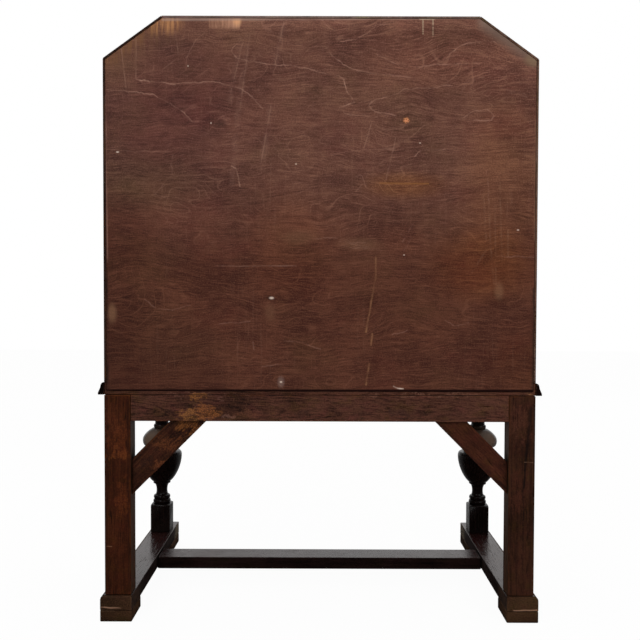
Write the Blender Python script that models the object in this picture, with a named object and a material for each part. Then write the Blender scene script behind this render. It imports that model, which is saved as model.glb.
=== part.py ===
"""A writing bureau on a stand: dark stained oak with a plywood back and brass fittings.

Sizes are in metres, +Z is up and the front faces -Y. The origin lies on the floor under the middle of
the bureau. Left (-X) and right (+X) are those of a person sitting at the desk.
"""

import math

import bmesh
import bpy
from mathutils import Matrix, Vector
from mathutils.geometry import interpolate_bezier

# Case
CASE_WIDTH = 0.762
CASE_DEPTH = 0.420
TOTAL_HEIGHT = 1.067
WRITING_HEIGHT = 0.735
CANT_WIDTH = 0.1025
CANT_HEIGHT = 0.0737
BOARD = 0.016
BOTTOM_THICKNESS = 0.022
BOTTOM_SETBACK = 0.002
BACK_THICKNESS = 0.006
BACK_LIP = 0.0045
BACK_ABOVE_STAND = 0.0075
HOUSING_DEPTH = 0.005
HOUSING_STOP = 0.020
PARTITION = 0.012
FRONT_RAIL_HEIGHT = 0.010
FRONT_RAIL_DEPTH = 0.048
MOULDING_HEIGHT = 0.022
MOULDING_PROJECTION = 0.0110

# Inner fittings of the writing compartment
SHELF_ABOVE_BED = 0.125
SHELF_DEPTH = 0.190
SHELF_THICKNESS = 0.009

# Fall and its hinges
FALL_THICKNESS = 0.018
FALL_SLOPE = math.radians(60.0)
HINGE_FROM_SIDE = 0.141
HINGE_LENGTH = 0.060
HINGE_MIDDLE = 0.022
LEAF_WIDTH = 0.028
LEAF_THICKNESS = 0.0018
KNUCKLE_RADIUS = 0.0030
PIN_RADIUS = 0.0012

# Lopers and drawers; the lower drawer has its share of the height that both openings take
LOPER_WIDTH = 0.022
LOPER_REAR_SPACE = 0.020
LOWER_SHARE = 0.575
DRAWER_FRONT = 0.018
DRAWER_SIDE = 0.010
DRAWER_BACK = 0.008
DRAWER_BOTTOM = 0.005
DRAWER_GROOVE = 0.004
DRAWER_BOTTOM_ABOVE_EDGE = 0.008
DRAWER_REAR_SPACE = 0.012
DRAWER_BACK_INSET = 0.006
DRAWER_SIDE_DROP = 0.004
DRAWER_BACK_DROP = 0.012

# Fields worked into the fall and the drawer fronts: a flat margin, then a groove with two slopes
FALL_MARGIN = 0.042
DRAWER_MARGIN = 0.016
FIELD_GROOVE_DEPTH = 0.004
FIELD_OUTER_SLOPE = 0.005
FIELD_INNER_SLOPE = 0.014

# Drop handles
ROSE_RADIUS = 0.0180
ROSE_THICKNESS = 0.0030
HANDLE_STANDOFF = 0.0115
EAR_THICKNESS = 0.0022
EAR_HALF_HEIGHT = 0.0032
HANDLE_PIN_RADIUS = 0.0014
EYE_RADIUS = 0.0038
EYE_WIDTH = 0.0050
DROP_LENGTH = 0.040
DROP_RADIUS = 0.0076

# Stand
STAND_HEIGHT = 0.404
REAR_LEG_WIDTH = 0.0465
REAR_LEG_DEPTH = 0.036
FRONT_LEG_SQUARE = 0.0430
FRONT_LEG_SETBACK = 0.0047
LOWER_BLOCK_HEIGHT = 0.0625
UPPER_BLOCK_HEIGHT = 0.084
BLOCK_ROUNDING = 0.008
RUNNER_THICKNESS = 0.0265
RUNNER_INNER_LEDGE = 0.0018
RUNNER_OUTER_LEDGE = 0.0082
RUNNER_REAR_LEDGE = 0.003
RUNNER_FRONT_REACH = 0.037
FOOT_HEIGHT = 0.0205
REAR_FOOT_LENGTH = 0.070
FRONT_FOOT_LENGTH = 0.089
STRETCHER_WIDTH = 0.056
STRETCHER_THICKNESS = 0.0237
STRETCHER_ABOVE_FLOOR = 0.0193
STRETCHER_FROM_BACK = 0.215
APRON_HEIGHT = 0.0465
APRON_THICKNESS = 0.020
APRON_SETBACK = 0.003
REAR_APRON_THICKNESS = 0.024
REAR_APRON_SETBACK = 0.001
BRACE_WIDTH_LEFT = 0.0404
BRACE_WIDTH_RIGHT = 0.0456
BRACE_FROM_CORNER_LEFT = 0.0726
BRACE_FROM_CORNER_RIGHT = 0.0685
BRACE_THICKNESS = 0.016
BRACE_SETBACK = 0.009
TENON_LENGTH = 0.016
TENON_THICKNESS = 0.008
TENON_SHOULDER = 0.008
LEG_TENON_SQUARE = 0.018
LEG_TENON_LENGTH = 0.014

# Turned stretch of a front leg, from the lower block up: height and radius of each member
LOWER_RING = (0.0100, 0.0194)
SECOND_RING = (0.0090, 0.0185)
NECK = (0.0270, 0.0121)
CUP_FOOT = (0.0036, 0.0190)
CUP = (0.0600, 0.0447)
RIM = (0.0095, 0.0380)
GROOVE = (0.0125, 0.0320)
COVER_EDGE = (0.0142, 0.0424)
COVER_DOME = (0.0257, 0.0183)
COLLAR = (0.0090, 0.0180)
UPPER_NECK = (0.0095, 0.0150)
UPPER_RING = (0.0205, 0.0196)
COVER_FOOT_RADIUS = 0.0346

# Fits
GAP = 0.0003
MITRE_GAP = 0.00018
FALL_INSET = 0.001
FALL_LOWER_GAP = 0.0005
LOPER_GAP = 0.001
LOPER_REST_GAP = 0.0005
DRAWER_GAP = 0.0015
DRAWER_SIDE_GAP = 0.001
DRAWER_RUN_GAP = 0.0005
PIN_CLEARANCE = 0.0002
OVERLAP = 0.005

# Levels and planes that follow from the sizes above
HALF = CASE_WIDTH / 2
INNER = HALF - BOARD
RUNNER_LENGTH = RUNNER_REAR_LEDGE + CASE_DEPTH + RUNNER_FRONT_REACH
RUNNER_END = RUNNER_LENGTH / 2
RUNNER_TOP = FOOT_HEIGHT + RUNNER_THICKNESS
CASE_BACK = RUNNER_END - RUNNER_REAR_LEDGE
CASE_FRONT = CASE_BACK - CASE_DEPTH
INSIDE_BACK = CASE_BACK - BACK_THICKNESS - GAP
BOTTOM_LOW = STAND_HEIGHT + GAP
BOTTOM_TOP = BOTTOM_LOW + BOTTOM_THICKNESS
BED_LOW = WRITING_HEIGHT - FALL_THICKNESS
LOPER_TOP = BED_LOW - LOPER_REST_GAP
RAIL_LOW = LOPER_TOP - FRONT_RAIL_HEIGHT
DUST_LOW = BOTTOM_TOP + LOWER_SHARE * (RAIL_LOW - BOTTOM_TOP - BOARD)
DUST_TOP = DUST_LOW + BOARD
LOPER_OUTER = INNER - LOPER_GAP
LOPER_INNER = LOPER_OUTER - LOPER_WIDTH
PARTITION_OUTER = LOPER_INNER - LOPER_GAP
PARTITION_INNER = PARTITION_OUTER - PARTITION
SHELF_LOW = WRITING_HEIGHT + SHELF_ABOVE_BED
FALL_SIN = math.sin(FALL_SLOPE)
FALL_COS = math.cos(FALL_SLOPE)
HINGE_X = HALF - HINGE_FROM_SIDE
HINGE_Y = CASE_FRONT
DIVIDER_X = INNER / 3
FRONT_LEG_X = HALF - FRONT_LEG_SQUARE / 2
FRONT_LEG_Y = CASE_FRONT + FRONT_LEG_SETBACK + FRONT_LEG_SQUARE / 2
REAR_LEG_X = HALF - REAR_LEG_WIDTH / 2
REAR_LEG_Y = CASE_BACK - REAR_LEG_DEPTH / 2
APRON_LOW = STAND_HEIGHT - APRON_HEIGHT
RUNNER_INNER = HALF - REAR_LEG_WIDTH - RUNNER_INNER_LEDGE
RUNNER_OUTER = HALF + RUNNER_OUTER_LEDGE

SIDES = (("left", -1), ("right", 1))
ROUND_STEPS = 24
BLOCK_STEPS = 28
SMALL_STEPS = 16
CURVE_POINTS = 6


# Basic shapes
def along_x(u, v, depth):
    return Vector((depth, u, v))


def along_y(u, v, depth):
    return Vector((u, depth, v))


def along_z(u, v, depth):
    return Vector((u, v, depth))


def add_box(bm, corner, opposite):
    """Adds a cuboid between two opposite corners, given in any order."""
    low = Vector([min(pair) for pair in zip(corner, opposite)])
    high = Vector([max(pair) for pair in zip(corner, opposite)])
    place = Matrix.Translation((low + high) / 2) @ Matrix.Diagonal((*(high - low), 1))
    bmesh.ops.create_cube(bm, size=1, matrix=place)


def box(corner, opposite):
    bm = bmesh.new()
    add_box(bm, corner, opposite)
    return bm


def prism(outline, start, end, direction):
    """Extrudes a flat outline from one depth to another."""
    bm = bmesh.new()
    face = bm.faces.new([bm.verts.new(direction(u, v, start)) for u, v in outline])
    result = bmesh.ops.extrude_face_region(bm, geom=[face])
    moved = [item for item in result["geom"] if isinstance(item, bmesh.types.BMVert)]
    bmesh.ops.translate(bm, verts=moved, vec=direction(0, 0, end - start))
    bmesh.ops.recalc_face_normals(bm, faces=bm.faces)
    return bm


def turned(outline, steps):
    """Turns an outline of (radius, height) points, both ends on the axis, about Z."""
    bm = bmesh.new()
    verts = [bm.verts.new((radius, 0, height)) for radius, height in outline]
    edges = [bm.edges.new(pair) for pair in zip(verts, verts[1:])]
    bmesh.ops.spin(bm, geom=verts + edges, axis=(0, 0, 1), cent=(0, 0, 0), angle=math.tau, steps=steps)
    bmesh.ops.remove_doubles(bm, verts=bm.verts, dist=0.00001)
    bmesh.ops.recalc_face_normals(bm, faces=bm.faces)
    return bm


def add_rod(bm, radius, start, end, centre):
    """Adds a round rod that runs along X."""
    place = Matrix.Translation(((start + end) / 2, *centre)) @ Matrix.Rotation(math.pi / 2, 4, "Y")
    bmesh.ops.create_cone(
        bm, cap_ends=True, segments=SMALL_STEPS, radius1=radius, radius2=radius, depth=end - start, matrix=place
    )


def rod(radius, start, end, centre):
    bm = bmesh.new()
    add_rod(bm, radius, start, end, centre)
    return bm


def slice_off(bm, point, normal):
    """Cuts away what lies on the normal's side of a plane and closes the cut."""
    everything = bm.verts[:] + bm.edges[:] + bm.faces[:]
    cut = bmesh.ops.bisect_plane(bm, geom=everything, plane_co=point, plane_no=normal, clear_outer=True)
    edges = [item for item in cut["geom_cut"] if isinstance(item, bmesh.types.BMEdge)]
    bmesh.ops.edgeloop_fill(bm, edges=edges)
    bmesh.ops.recalc_face_normals(bm, faces=bm.faces)


def work_fields(bm, faces, margin):
    """Works a field into each flat face: the groove slopes down steeply and comes up again gently."""
    for width, rise in (
        (margin, 0),
        (FIELD_OUTER_SLOPE, -FIELD_GROOVE_DEPTH),
        (FIELD_INNER_SLOPE, FIELD_GROOVE_DEPTH),
    ):
        bmesh.ops.inset_individual(bm, faces=faces, thickness=width, depth=rise, use_even_offset=True)


def curve(start, leave, arrive, end):
    """Points of a smooth stretch of outline, without its first point."""
    flat = [Vector((*point, 0)) for point in (start, leave, arrive, end)]
    return [(point.x, point.y) for point in interpolate_bezier(*flat, CURVE_POINTS)[1:]]


def inset_corner(shoulder, crown, inset):
    """Moves both points of a canted corner inwards, by the same distance on all three sides."""
    length = math.hypot(shoulder[0] - crown[0], crown[1] - shoulder[1])
    run = (shoulder[0] - crown[0]) / length
    rise = (crown[1] - shoulder[1]) / length
    line_x = shoulder[0] - inset * rise
    line_z = shoulder[1] - inset * run
    side_x = shoulder[0] - inset
    top_z = crown[1] - inset
    new_shoulder = (side_x, line_z + rise * (line_x - side_x) / run)
    new_crown = (line_x - run * (top_z - line_z) / rise, top_z)
    return new_shoulder, new_crown


def canted_outline(shoulder, crown, low):
    """Closed outline with a flat foot and two canted upper corners."""
    right = [(shoulder[0], low), shoulder, crown]
    return right + [(-x, z) for x, z in reversed(right)]


# Objects
def make_material(name, colour, roughness, metallic=0.0):
    material = bpy.data.materials.new(name)
    material.use_nodes = True
    shader = material.node_tree.nodes["Principled BSDF"]
    shader.inputs["Base Color"].default_value = (*colour, 1)
    shader.inputs["Roughness"].default_value = roughness
    shader.inputs["Metallic"].default_value = metallic
    return material


def pivot(name, location, turn=0.0):
    """An empty on the axis of a joint, for the pieces that move with it."""
    empty = bpy.data.objects.new(name, None)
    empty.empty_display_size = 0.05
    empty.location = location
    empty.rotation_euler.x = turn
    bpy.context.scene.collection.objects.link(empty)
    return empty


def piece(name, bm, material, parent=None, at=(0, 0, 0), smooth=False):
    """Makes one named sub-part from a mesh given in its own coordinates."""
    mesh = bpy.data.meshes.new(name)
    bm.to_mesh(mesh)
    bm.free()
    mesh.materials.append(material)
    if smooth:
        mesh.shade_smooth()
        mesh.set_sharp_from_angle(angle=math.radians(40))
    made = bpy.data.objects.new(name, mesh)
    made.location = at
    made.parent = parent
    bpy.context.scene.collection.objects.link(made)
    return made


def combine(target, bm, operation):
    """Joins a shape to a sub-part, or cuts it out. The shape is in the sub-part's coordinates."""
    number = len(target.modifiers)
    mesh = bpy.data.meshes.new(f"{target.name}_shape_{number}")
    bm.to_mesh(mesh)
    bm.free()
    shape = bpy.data.objects.new(mesh.name, mesh)
    shape.parent = target
    shape.hide_render = True
    shape.display_type = "WIRE"
    bpy.context.scene.collection.objects.link(shape)
    modifier = target.modifiers.new(f"shape_{number}", "BOOLEAN")
    modifier.operation = operation
    modifier.solver = "EXACT"
    modifier.object = shape


def fuse(target, bm):
    combine(target, bm, "UNION")


def carve(target, bm):
    combine(target, bm, "DIFFERENCE")


# Stand
def add_apron_tenon(bm, centre, reach, clearance):
    """Adds the tenon of an apron, or with a clearance its mortise, centred on a leg's face."""
    half = [TENON_THICKNESS / 2 + clearance] * 2
    along = [abs(value) for value in reach]
    half = [length + clearance if length else side for length, side in zip(along, half)]
    low = APRON_LOW + TENON_SHOULDER - clearance
    high = STAND_HEIGHT - TENON_SHOULDER + clearance
    x, y = centre
    add_box(bm, (x - half[0], y - half[1], low), (x + half[0], y + half[1], high))


def apron_tenons(side):
    """Where the aprons enter one rear and one front leg: lists of (centre, reach)."""
    across = (TENON_LENGTH, 0)
    lengthwise = (0, TENON_LENGTH)
    side_x = side * (HALF - APRON_SETBACK - APRON_THICKNESS / 2)
    rear_y = CASE_BACK - REAR_APRON_SETBACK - REAR_APRON_THICKNESS / 2
    front_y = CASE_FRONT + FRONT_LEG_SETBACK + APRON_SETBACK + APRON_THICKNESS / 2
    rear = [((side * (HALF - REAR_LEG_WIDTH), rear_y), across)]
    rear.append(((side_x, CASE_BACK - REAR_LEG_DEPTH), lengthwise))
    front = [((side * (HALF - FRONT_LEG_SQUARE), front_y), across)]
    front.append(((side_x, FRONT_LEG_Y + FRONT_LEG_SQUARE / 2), lengthwise))
    return rear, front


def tenon_shapes(places, clearance):
    bm = bmesh.new()
    for centre, reach in places:
        add_apron_tenon(bm, centre, reach, clearance)
    return bm


def leg_tenon(x, y, clearance):
    """The stub under a leg, or with a clearance the mortise for it in the runner."""
    half = LEG_TENON_SQUARE / 2 + clearance
    low = RUNNER_TOP - LEG_TENON_LENGTH - clearance
    return box((x - half, y - half, low), (x + half, y + half, RUNNER_TOP + OVERLAP))


def build_rear_leg(name, side, wood):
    x = side * REAR_LEG_X
    low = (x - REAR_LEG_WIDTH / 2, CASE_BACK - REAR_LEG_DEPTH, RUNNER_TOP + GAP)
    high = (x + REAR_LEG_WIDTH / 2, CASE_BACK, STAND_HEIGHT)
    leg = piece(name, box(low, high), wood)
    fuse(leg, leg_tenon(x, REAR_LEG_Y, 0))
    carve(leg, tenon_shapes(apron_tenons(side)[0], GAP))


def bead(inner, radius, low, high):
    """Points of a half-round member that swells from an inner radius, without its first point."""
    swell = inner + (radius - inner) / 0.75
    return curve((inner, low), (swell, low), (swell, high), (inner, high))


def turned_outline():
    """Outline of a front leg's turned stretch, with ends that run on inside both square blocks."""
    members = (LOWER_RING, SECOND_RING, NECK, CUP_FOOT, CUP, RIM, GROOVE, COVER_EDGE, COVER_DOME)
    members += (COLLAR, UPPER_NECK, UPPER_RING)
    low = RUNNER_TOP + LOWER_BLOCK_HEIGHT
    high = STAND_HEIGHT - UPPER_BLOCK_HEIGHT
    scale = (high - low) / sum(height for height, radius in members)
    levels = [low]
    for height, radius in members:
        levels.append(levels[-1] + height * scale)
    ring, second, neck, foot, cup, rim, groove, edge, dome, collar, upper_neck, upper_ring, end = levels
    core = 0.80 * LOWER_RING[1]
    points = [(0, low - OVERLAP), (core, low - OVERLAP), (core, ring)]
    points += bead(core, LOWER_RING[1], ring, second)
    points += bead(core, SECOND_RING[1], second, neck)
    waist = (NECK[1] - (core + CUP_FOOT[1]) / 8) / 0.75
    points += curve(points[-1], (waist, neck), (waist, foot), (CUP_FOOT[1], foot))
    points.append((CUP_FOOT[1], cup))
    span = rim - cup
    bowl = CUP_FOOT[1] + 0.40 * (CUP[1] - CUP_FOOT[1])
    points += curve(points[-1], (bowl, cup + 0.11 * span), (CUP[1], cup + 0.56 * span), (CUP[1], rim))
    lip = RIM[1] + 0.70 * (CUP[1] - RIM[1])
    points += curve(points[-1], (CUP[1], rim + 0.6 * (groove - rim)), (lip, groove), (RIM[1], groove))
    points += [(GROOVE[1], groove), (GROOVE[1], edge), (COVER_FOOT_RADIUS, edge)]
    turn = COVER_FOOT_RADIUS + 0.70 * (COVER_EDGE[1] - COVER_FOOT_RADIUS)
    points += curve(points[-1], (turn, edge), (COVER_EDGE[1], edge + 0.45 * (dome - edge)), (COVER_EDGE[1], dome))
    span = collar - dome
    crown = COVER_DOME[1] + 0.53 * (COVER_EDGE[1] - COVER_DOME[1])
    points += curve(points[-1], (COVER_EDGE[1], dome + 0.4 * span), (crown, dome + 0.92 * span), (COVER_DOME[1], collar))
    points.append((UPPER_NECK[1], collar))
    points += bead(UPPER_NECK[1], COLLAR[1], collar, upper_neck)
    points.append((UPPER_NECK[1], upper_ring))
    points += bead(UPPER_NECK[1], UPPER_RING[1], upper_ring, end)
    points += [(UPPER_NECK[1], end + OVERLAP), (0, end + OVERLAP)]
    return points


def block_envelope(square_end, round_end):
    """Turned body that rounds the corners of a square block towards the turned stretch."""
    corner = 1.01 * FRONT_LEG_SQUARE / math.sqrt(2)
    flat = 0.95 * FRONT_LEG_SQUARE / 2
    step = math.copysign(BLOCK_ROUNDING, square_end - round_end)
    start = (corner, round_end + step)
    outside = square_end + math.copysign(OVERLAP, step)
    outline = [(0, outside), (corner + OVERLAP, outside), (corner + OVERLAP, start[1]), start]
    middle = (corner + flat) / 2
    outline += curve(start, (corner, round_end + 0.4 * step), (middle, round_end), (flat, round_end))
    outline.append((0, round_end))
    return turned(outline, BLOCK_STEPS)


def build_front_leg(name, side, wood):
    """A leg with two square blocks and a turned stretch between them."""
    x = side * FRONT_LEG_X
    half = FRONT_LEG_SQUARE / 2
    low = RUNNER_TOP + LOWER_BLOCK_HEIGHT
    high = STAND_HEIGHT - UPPER_BLOCK_HEIGHT
    blocks = bmesh.new()
    add_box(blocks, (-half, -half, RUNNER_TOP + GAP), (half, half, low + OVERLAP))
    add_box(blocks, (-half, -half, high - OVERLAP), (half, half, STAND_HEIGHT))
    leg = piece(name, blocks, wood, at=(x, FRONT_LEG_Y, 0), smooth=True)
    envelope = block_envelope(RUNNER_TOP, low)
    upper = bpy.data.meshes.new("upper_envelope")
    block_envelope(STAND_HEIGHT, high).to_mesh(upper)
    envelope.from_mesh(upper)
    combine(leg, envelope, "INTERSECT")
    fuse(leg, turned(turned_outline(), ROUND_STEPS))
    fuse(leg, leg_tenon(0, 0, 0))
    mortises = tenon_shapes(apron_tenons(side)[1], GAP)
    bmesh.ops.translate(mortises, verts=mortises.verts, vec=(-x, -FRONT_LEG_Y, 0))
    carve(leg, mortises)


def build_runner(name, side, wood):
    low = (side * RUNNER_INNER, -RUNNER_END, FOOT_HEIGHT + GAP)
    high = (side * RUNNER_OUTER, RUNNER_END, RUNNER_TOP)
    runner = piece(name, box(low, high), wood)
    carve(runner, leg_tenon(side * REAR_LEG_X, REAR_LEG_Y, GAP))
    carve(runner, leg_tenon(side * FRONT_LEG_X, FRONT_LEG_Y, GAP))
    carve(runner, stretcher_tenon(side, GAP))


def stretcher_tenon(side, clearance):
    """The stretcher's end in a runner, or with a clearance the mortise for it."""
    middle = CASE_BACK - STRETCHER_FROM_BACK - STRETCHER_WIDTH / 2
    half = STRETCHER_WIDTH / 2 - TENON_SHOULDER + clearance
    level = STRETCHER_ABOVE_FLOOR + STRETCHER_THICKNESS / 2
    rise = TENON_THICKNESS / 2 + clearance
    start = side * (RUNNER_INNER - OVERLAP)
    end = side * (RUNNER_INNER + TENON_LENGTH + clearance)
    return box((start, middle - half, level - rise), (end, middle + half, level + rise))


def build_feet(name, side, wood):
    inner = side * RUNNER_INNER
    outer = side * RUNNER_OUTER
    rear = box((inner, RUNNER_END - REAR_FOOT_LENGTH, 0), (outer, RUNNER_END, FOOT_HEIGHT))
    front = box((inner, -RUNNER_END, 0), (outer, FRONT_FOOT_LENGTH - RUNNER_END, FOOT_HEIGHT))
    piece(f"foot_rear_{name}", rear, wood)
    piece(f"foot_front_{name}", front, wood)


def build_stretcher(wood):
    end = RUNNER_INNER - GAP
    back = CASE_BACK - STRETCHER_FROM_BACK
    top = STRETCHER_ABOVE_FLOOR + STRETCHER_THICKNESS
    body = box((-end, back - STRETCHER_WIDTH, STRETCHER_ABOVE_FLOOR), (end, back, top))
    stretcher = piece("stretcher", body, wood)
    for name, side in SIDES:
        fuse(stretcher, stretcher_tenon(side, 0))


def build_aprons(wood):
    rear_end = HALF - REAR_LEG_WIDTH - GAP
    rear_back = CASE_BACK - REAR_APRON_SETBACK
    low = (-rear_end, rear_back - REAR_APRON_THICKNESS, APRON_LOW)
    rear = piece("rear_apron", box(low, (rear_end, rear_back, STAND_HEIGHT)), wood)
    front_end = HALF - FRONT_LEG_SQUARE - GAP
    front_face = CASE_FRONT + FRONT_LEG_SETBACK + APRON_SETBACK
    low = (-front_end, front_face, APRON_LOW)
    front = piece("front_apron", box(low, (front_end, front_face + APRON_THICKNESS, STAND_HEIGHT)), wood)
    fuse(rear, tenon_shapes([apron_tenons(side)[0][0] for name, side in SIDES], 0))
    fuse(front, tenon_shapes([apron_tenons(side)[1][0] for name, side in SIDES], 0))
    for name, side in SIDES:
        outer = side * (HALF - APRON_SETBACK)
        inner = outer - side * APRON_THICKNESS
        start = FRONT_LEG_Y + FRONT_LEG_SQUARE / 2 + GAP
        body = box((inner, start, APRON_LOW), (outer, CASE_BACK - REAR_LEG_DEPTH - GAP, STAND_HEIGHT))
        apron = piece(f"side_apron_{name}", body, wood)
        fuse(apron, tenon_shapes([ends[1] for ends in apron_tenons(side)], 0))


def build_brace(name, side, upper, width, wood):
    """A diagonal board between the rear apron and a rear leg, at 45 degrees."""
    corner_x = HALF - REAR_LEG_WIDTH - GAP
    corner_z = APRON_LOW - GAP
    lower = upper + width * math.sqrt(2)
    outline = [
        (corner_x - lower, corner_z),
        (corner_x - upper, corner_z),
        (corner_x, corner_z - upper),
        (corner_x, corner_z - lower),
    ]
    back = CASE_BACK - BRACE_SETBACK
    piece(name, prism([(side * x, z) for x, z in outline], back - BRACE_THICKNESS, back, along_y), wood)


def build_stand(wood):
    for name, side in SIDES:
        build_rear_leg(f"rear_leg_{name}", side, wood)
        build_front_leg(f"front_leg_{name}", side, wood)
        build_runner(f"runner_{name}", side, wood)
        build_feet(name, side, wood)
    build_brace("rear_brace_left", -1, BRACE_FROM_CORNER_LEFT, BRACE_WIDTH_LEFT, wood)
    build_brace("rear_brace_right", 1, BRACE_FROM_CORNER_RIGHT, BRACE_WIDTH_RIGHT, wood)
    build_stretcher(wood)
    build_aprons(wood)


# Case
SHOULDER = (HALF, TOTAL_HEIGHT - CANT_HEIGHT)
CROWN = (HALF - CANT_WIDTH, TOTAL_HEIGHT)
INNER_SHOULDER, INNER_CROWN = inset_corner(SHOULDER, CROWN, BOARD)


def case_board(name, outline, wood):
    """A board of the case's shell: it runs from the back to the sloping front and is rebated for the back."""
    bm = prism(outline, CASE_FRONT, CASE_BACK, along_y)
    slice_off(bm, (0, CASE_FRONT, WRITING_HEIGHT), (0, -FALL_SIN, FALL_COS))
    board = piece(name, bm, wood)
    carve(board, rebate_shape())
    return board


def rebate_shape():
    """The space cut for the back panel, with clearance, open to the rear."""
    shoulder, crown = inset_corner(SHOULDER, CROWN, BACK_LIP - GAP)
    outline = canted_outline(shoulder, crown, STAND_HEIGHT + BACK_ABOVE_STAND - GAP)
    return prism(outline, INSIDE_BACK, CASE_BACK + OVERLAP, along_y)


def housing(side, low, high, front, clearance):
    """A board's tongue in a case side, or with a clearance the groove for it."""
    start = side * (INNER - OVERLAP)
    end = side * (INNER + HOUSING_DEPTH - GAP + clearance)
    back = INSIDE_BACK + clearance
    return box((start, front - clearance, low - clearance), (end, back, high + clearance))


def build_case_side(name, side, wood):
    low = BOTTOM_TOP + GAP
    outline = [(HALF, low), (HALF, SHOULDER[1] - MITRE_GAP)]
    outline += [(INNER, INNER_SHOULDER[1] - MITRE_GAP), (INNER, low)]
    board = case_board(name, [(side * x, z) for x, z in outline], wood)
    carve(board, housing(side, DUST_LOW, DUST_TOP, CASE_FRONT + HOUSING_STOP, GAP))
    carve(board, housing(side, BED_LOW, WRITING_HEIGHT, CASE_FRONT + HOUSING_STOP, GAP))


def build_cant(name, side, wood):
    length = math.hypot(CANT_WIDTH, CANT_HEIGHT)
    step_x = -MITRE_GAP * CANT_WIDTH / length
    step_z = MITRE_GAP * CANT_HEIGHT / length
    lower = [(x + step_x, z + step_z) for x, z in (INNER_SHOULDER, SHOULDER)]
    upper = [(x - step_x, z - step_z) for x, z in (CROWN, INNER_CROWN)]
    case_board(name, [(side * x, z) for x, z in lower + upper], wood)


def build_case_shell(wood, plywood):
    for name, side in SIDES:
        build_case_side(f"case_side_{name}", side, wood)
        build_cant(f"cant_{name}", side, wood)
    right = [(INNER_CROWN[0] - MITRE_GAP, INNER_CROWN[1]), (CROWN[0] - MITRE_GAP, CROWN[1])]
    case_board("top_board", right + [(-x, z) for x, z in reversed(right)], wood)
    bottom = box((-HALF, CASE_FRONT, BOTTOM_LOW), (HALF, CASE_BACK - BOTTOM_SETBACK, BOTTOM_TOP))
    carve(piece("bottom_board", bottom, wood), rebate_shape())
    shoulder, crown = inset_corner(SHOULDER, CROWN, BACK_LIP)
    outline = canted_outline(shoulder, crown, STAND_HEIGHT + BACK_ABOVE_STAND)
    piece("back_panel", prism(outline, CASE_BACK - BACK_THICKNESS, CASE_BACK, along_y), plywood)


def moulding_outline():
    """Base moulding in section: (distance out from the case, height)."""
    out = MOULDING_PROJECTION
    high = MOULDING_HEIGHT
    points = [(GAP, BOTTOM_LOW), (out, BOTTOM_LOW), (out, BOTTOM_LOW + 0.16 * high)]
    middle = (0.58 * out, BOTTOM_LOW + 0.74 * high)
    points += curve(points[-1], (0.86 * out, BOTTOM_LOW + 0.36 * high), (0.62 * out, BOTTOM_LOW + 0.5 * high), middle)
    end = (GAP, BOTTOM_LOW + high)
    points += curve(middle, (0.52 * out, BOTTOM_LOW + 0.93 * high), (0.3 * out, end[1]), end)
    return points


def build_base_mouldings(wood):
    """Three mouldings round the foot of the case, mitred at the front corners."""
    section = moulding_outline()
    reach = MOULDING_PROJECTION + OVERLAP
    for name, side in SIDES:
        bm = prism([(side * (HALF + out), z) for out, z in section], CASE_FRONT - reach, CASE_BACK, along_y)
        slice_off(bm, (side * HALF, CASE_FRONT + MITRE_GAP, 0), (-side, -1, 0))
        piece(f"base_moulding_{name}", bm, wood)
    bm = prism([(CASE_FRONT - out, z) for out, z in section], -HALF - reach, HALF + reach, along_x)
    for name, side in SIDES:
        slice_off(bm, (side * (HALF - MITRE_GAP), CASE_FRONT, 0), (side, 1, 0))
    piece("base_moulding_front", bm, wood)


def hinge_recess(toward):
    """Space for a hinge leaf and its knuckles, about the hinge axis. toward is the leaf's side along Y."""
    knuckle = KNUCKLE_RADIUS + GAP
    leaf_end = LEAF_WIDTH + GAP
    leaf_low = -LEAF_THICKNESS - GAP
    outline = [(-knuckle, OVERLAP), (leaf_end, OVERLAP), (leaf_end, leaf_low), (knuckle, leaf_low)]
    outline += [(knuckle, -knuckle), (-knuckle, -knuckle)]
    half = HINGE_LENGTH / 2 + GAP
    return prism([(toward * y, z) for y, z in outline], -half, half, along_x)


def build_writing_board(wood):
    """The fixed writing bed, with a rail under its front edge."""
    end = INNER - GAP
    bm = box((-end, CASE_FRONT, BED_LOW), (end, INSIDE_BACK, WRITING_HEIGHT))
    board = piece("writing_board", bm, wood)
    for name, side in SIDES:
        fuse(board, housing(side, BED_LOW, WRITING_HEIGHT, CASE_FRONT + HOUSING_STOP, 0))
    rail_end = PARTITION_INNER - GAP
    rail_back = CASE_FRONT + FRONT_RAIL_DEPTH
    fuse(board, box((-rail_end, CASE_FRONT, RAIL_LOW), (rail_end, rail_back, BED_LOW + OVERLAP)))
    for name, side in SIDES:
        recess = hinge_recess(1)
        place = (side * HINGE_X, HINGE_Y, WRITING_HEIGHT)
        bmesh.ops.translate(recess, verts=recess.verts, vec=place)
        carve(board, recess)


def build_case_inside(wood):
    build_writing_board(wood)
    end = INNER - GAP
    dust = piece("drawer_divider", box((-end, CASE_FRONT, DUST_LOW), (end, INSIDE_BACK, DUST_TOP)), wood)
    for name, side in SIDES:
        fuse(dust, housing(side, DUST_LOW, DUST_TOP, CASE_FRONT + HOUSING_STOP, 0))
        low = (side * PARTITION_INNER, CASE_FRONT, DUST_TOP + GAP)
        high = (side * PARTITION_OUTER, INSIDE_BACK, BED_LOW - GAP)
        piece(f"loper_partition_{name}", box(low, high), wood)
        x = side * DIVIDER_X
        low = (x - SHELF_THICKNESS / 2, INSIDE_BACK - SHELF_DEPTH, WRITING_HEIGHT + GAP)
        high = (x + SHELF_THICKNESS / 2, INSIDE_BACK, SHELF_LOW - GAP)
        piece(f"inner_divider_{name}", box(low, high), wood)
    high = (end, INSIDE_BACK, SHELF_LOW + SHELF_THICKNESS)
    piece("inner_shelf", box((-end, INSIDE_BACK - SHELF_DEPTH, SHELF_LOW), high), wood)


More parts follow.
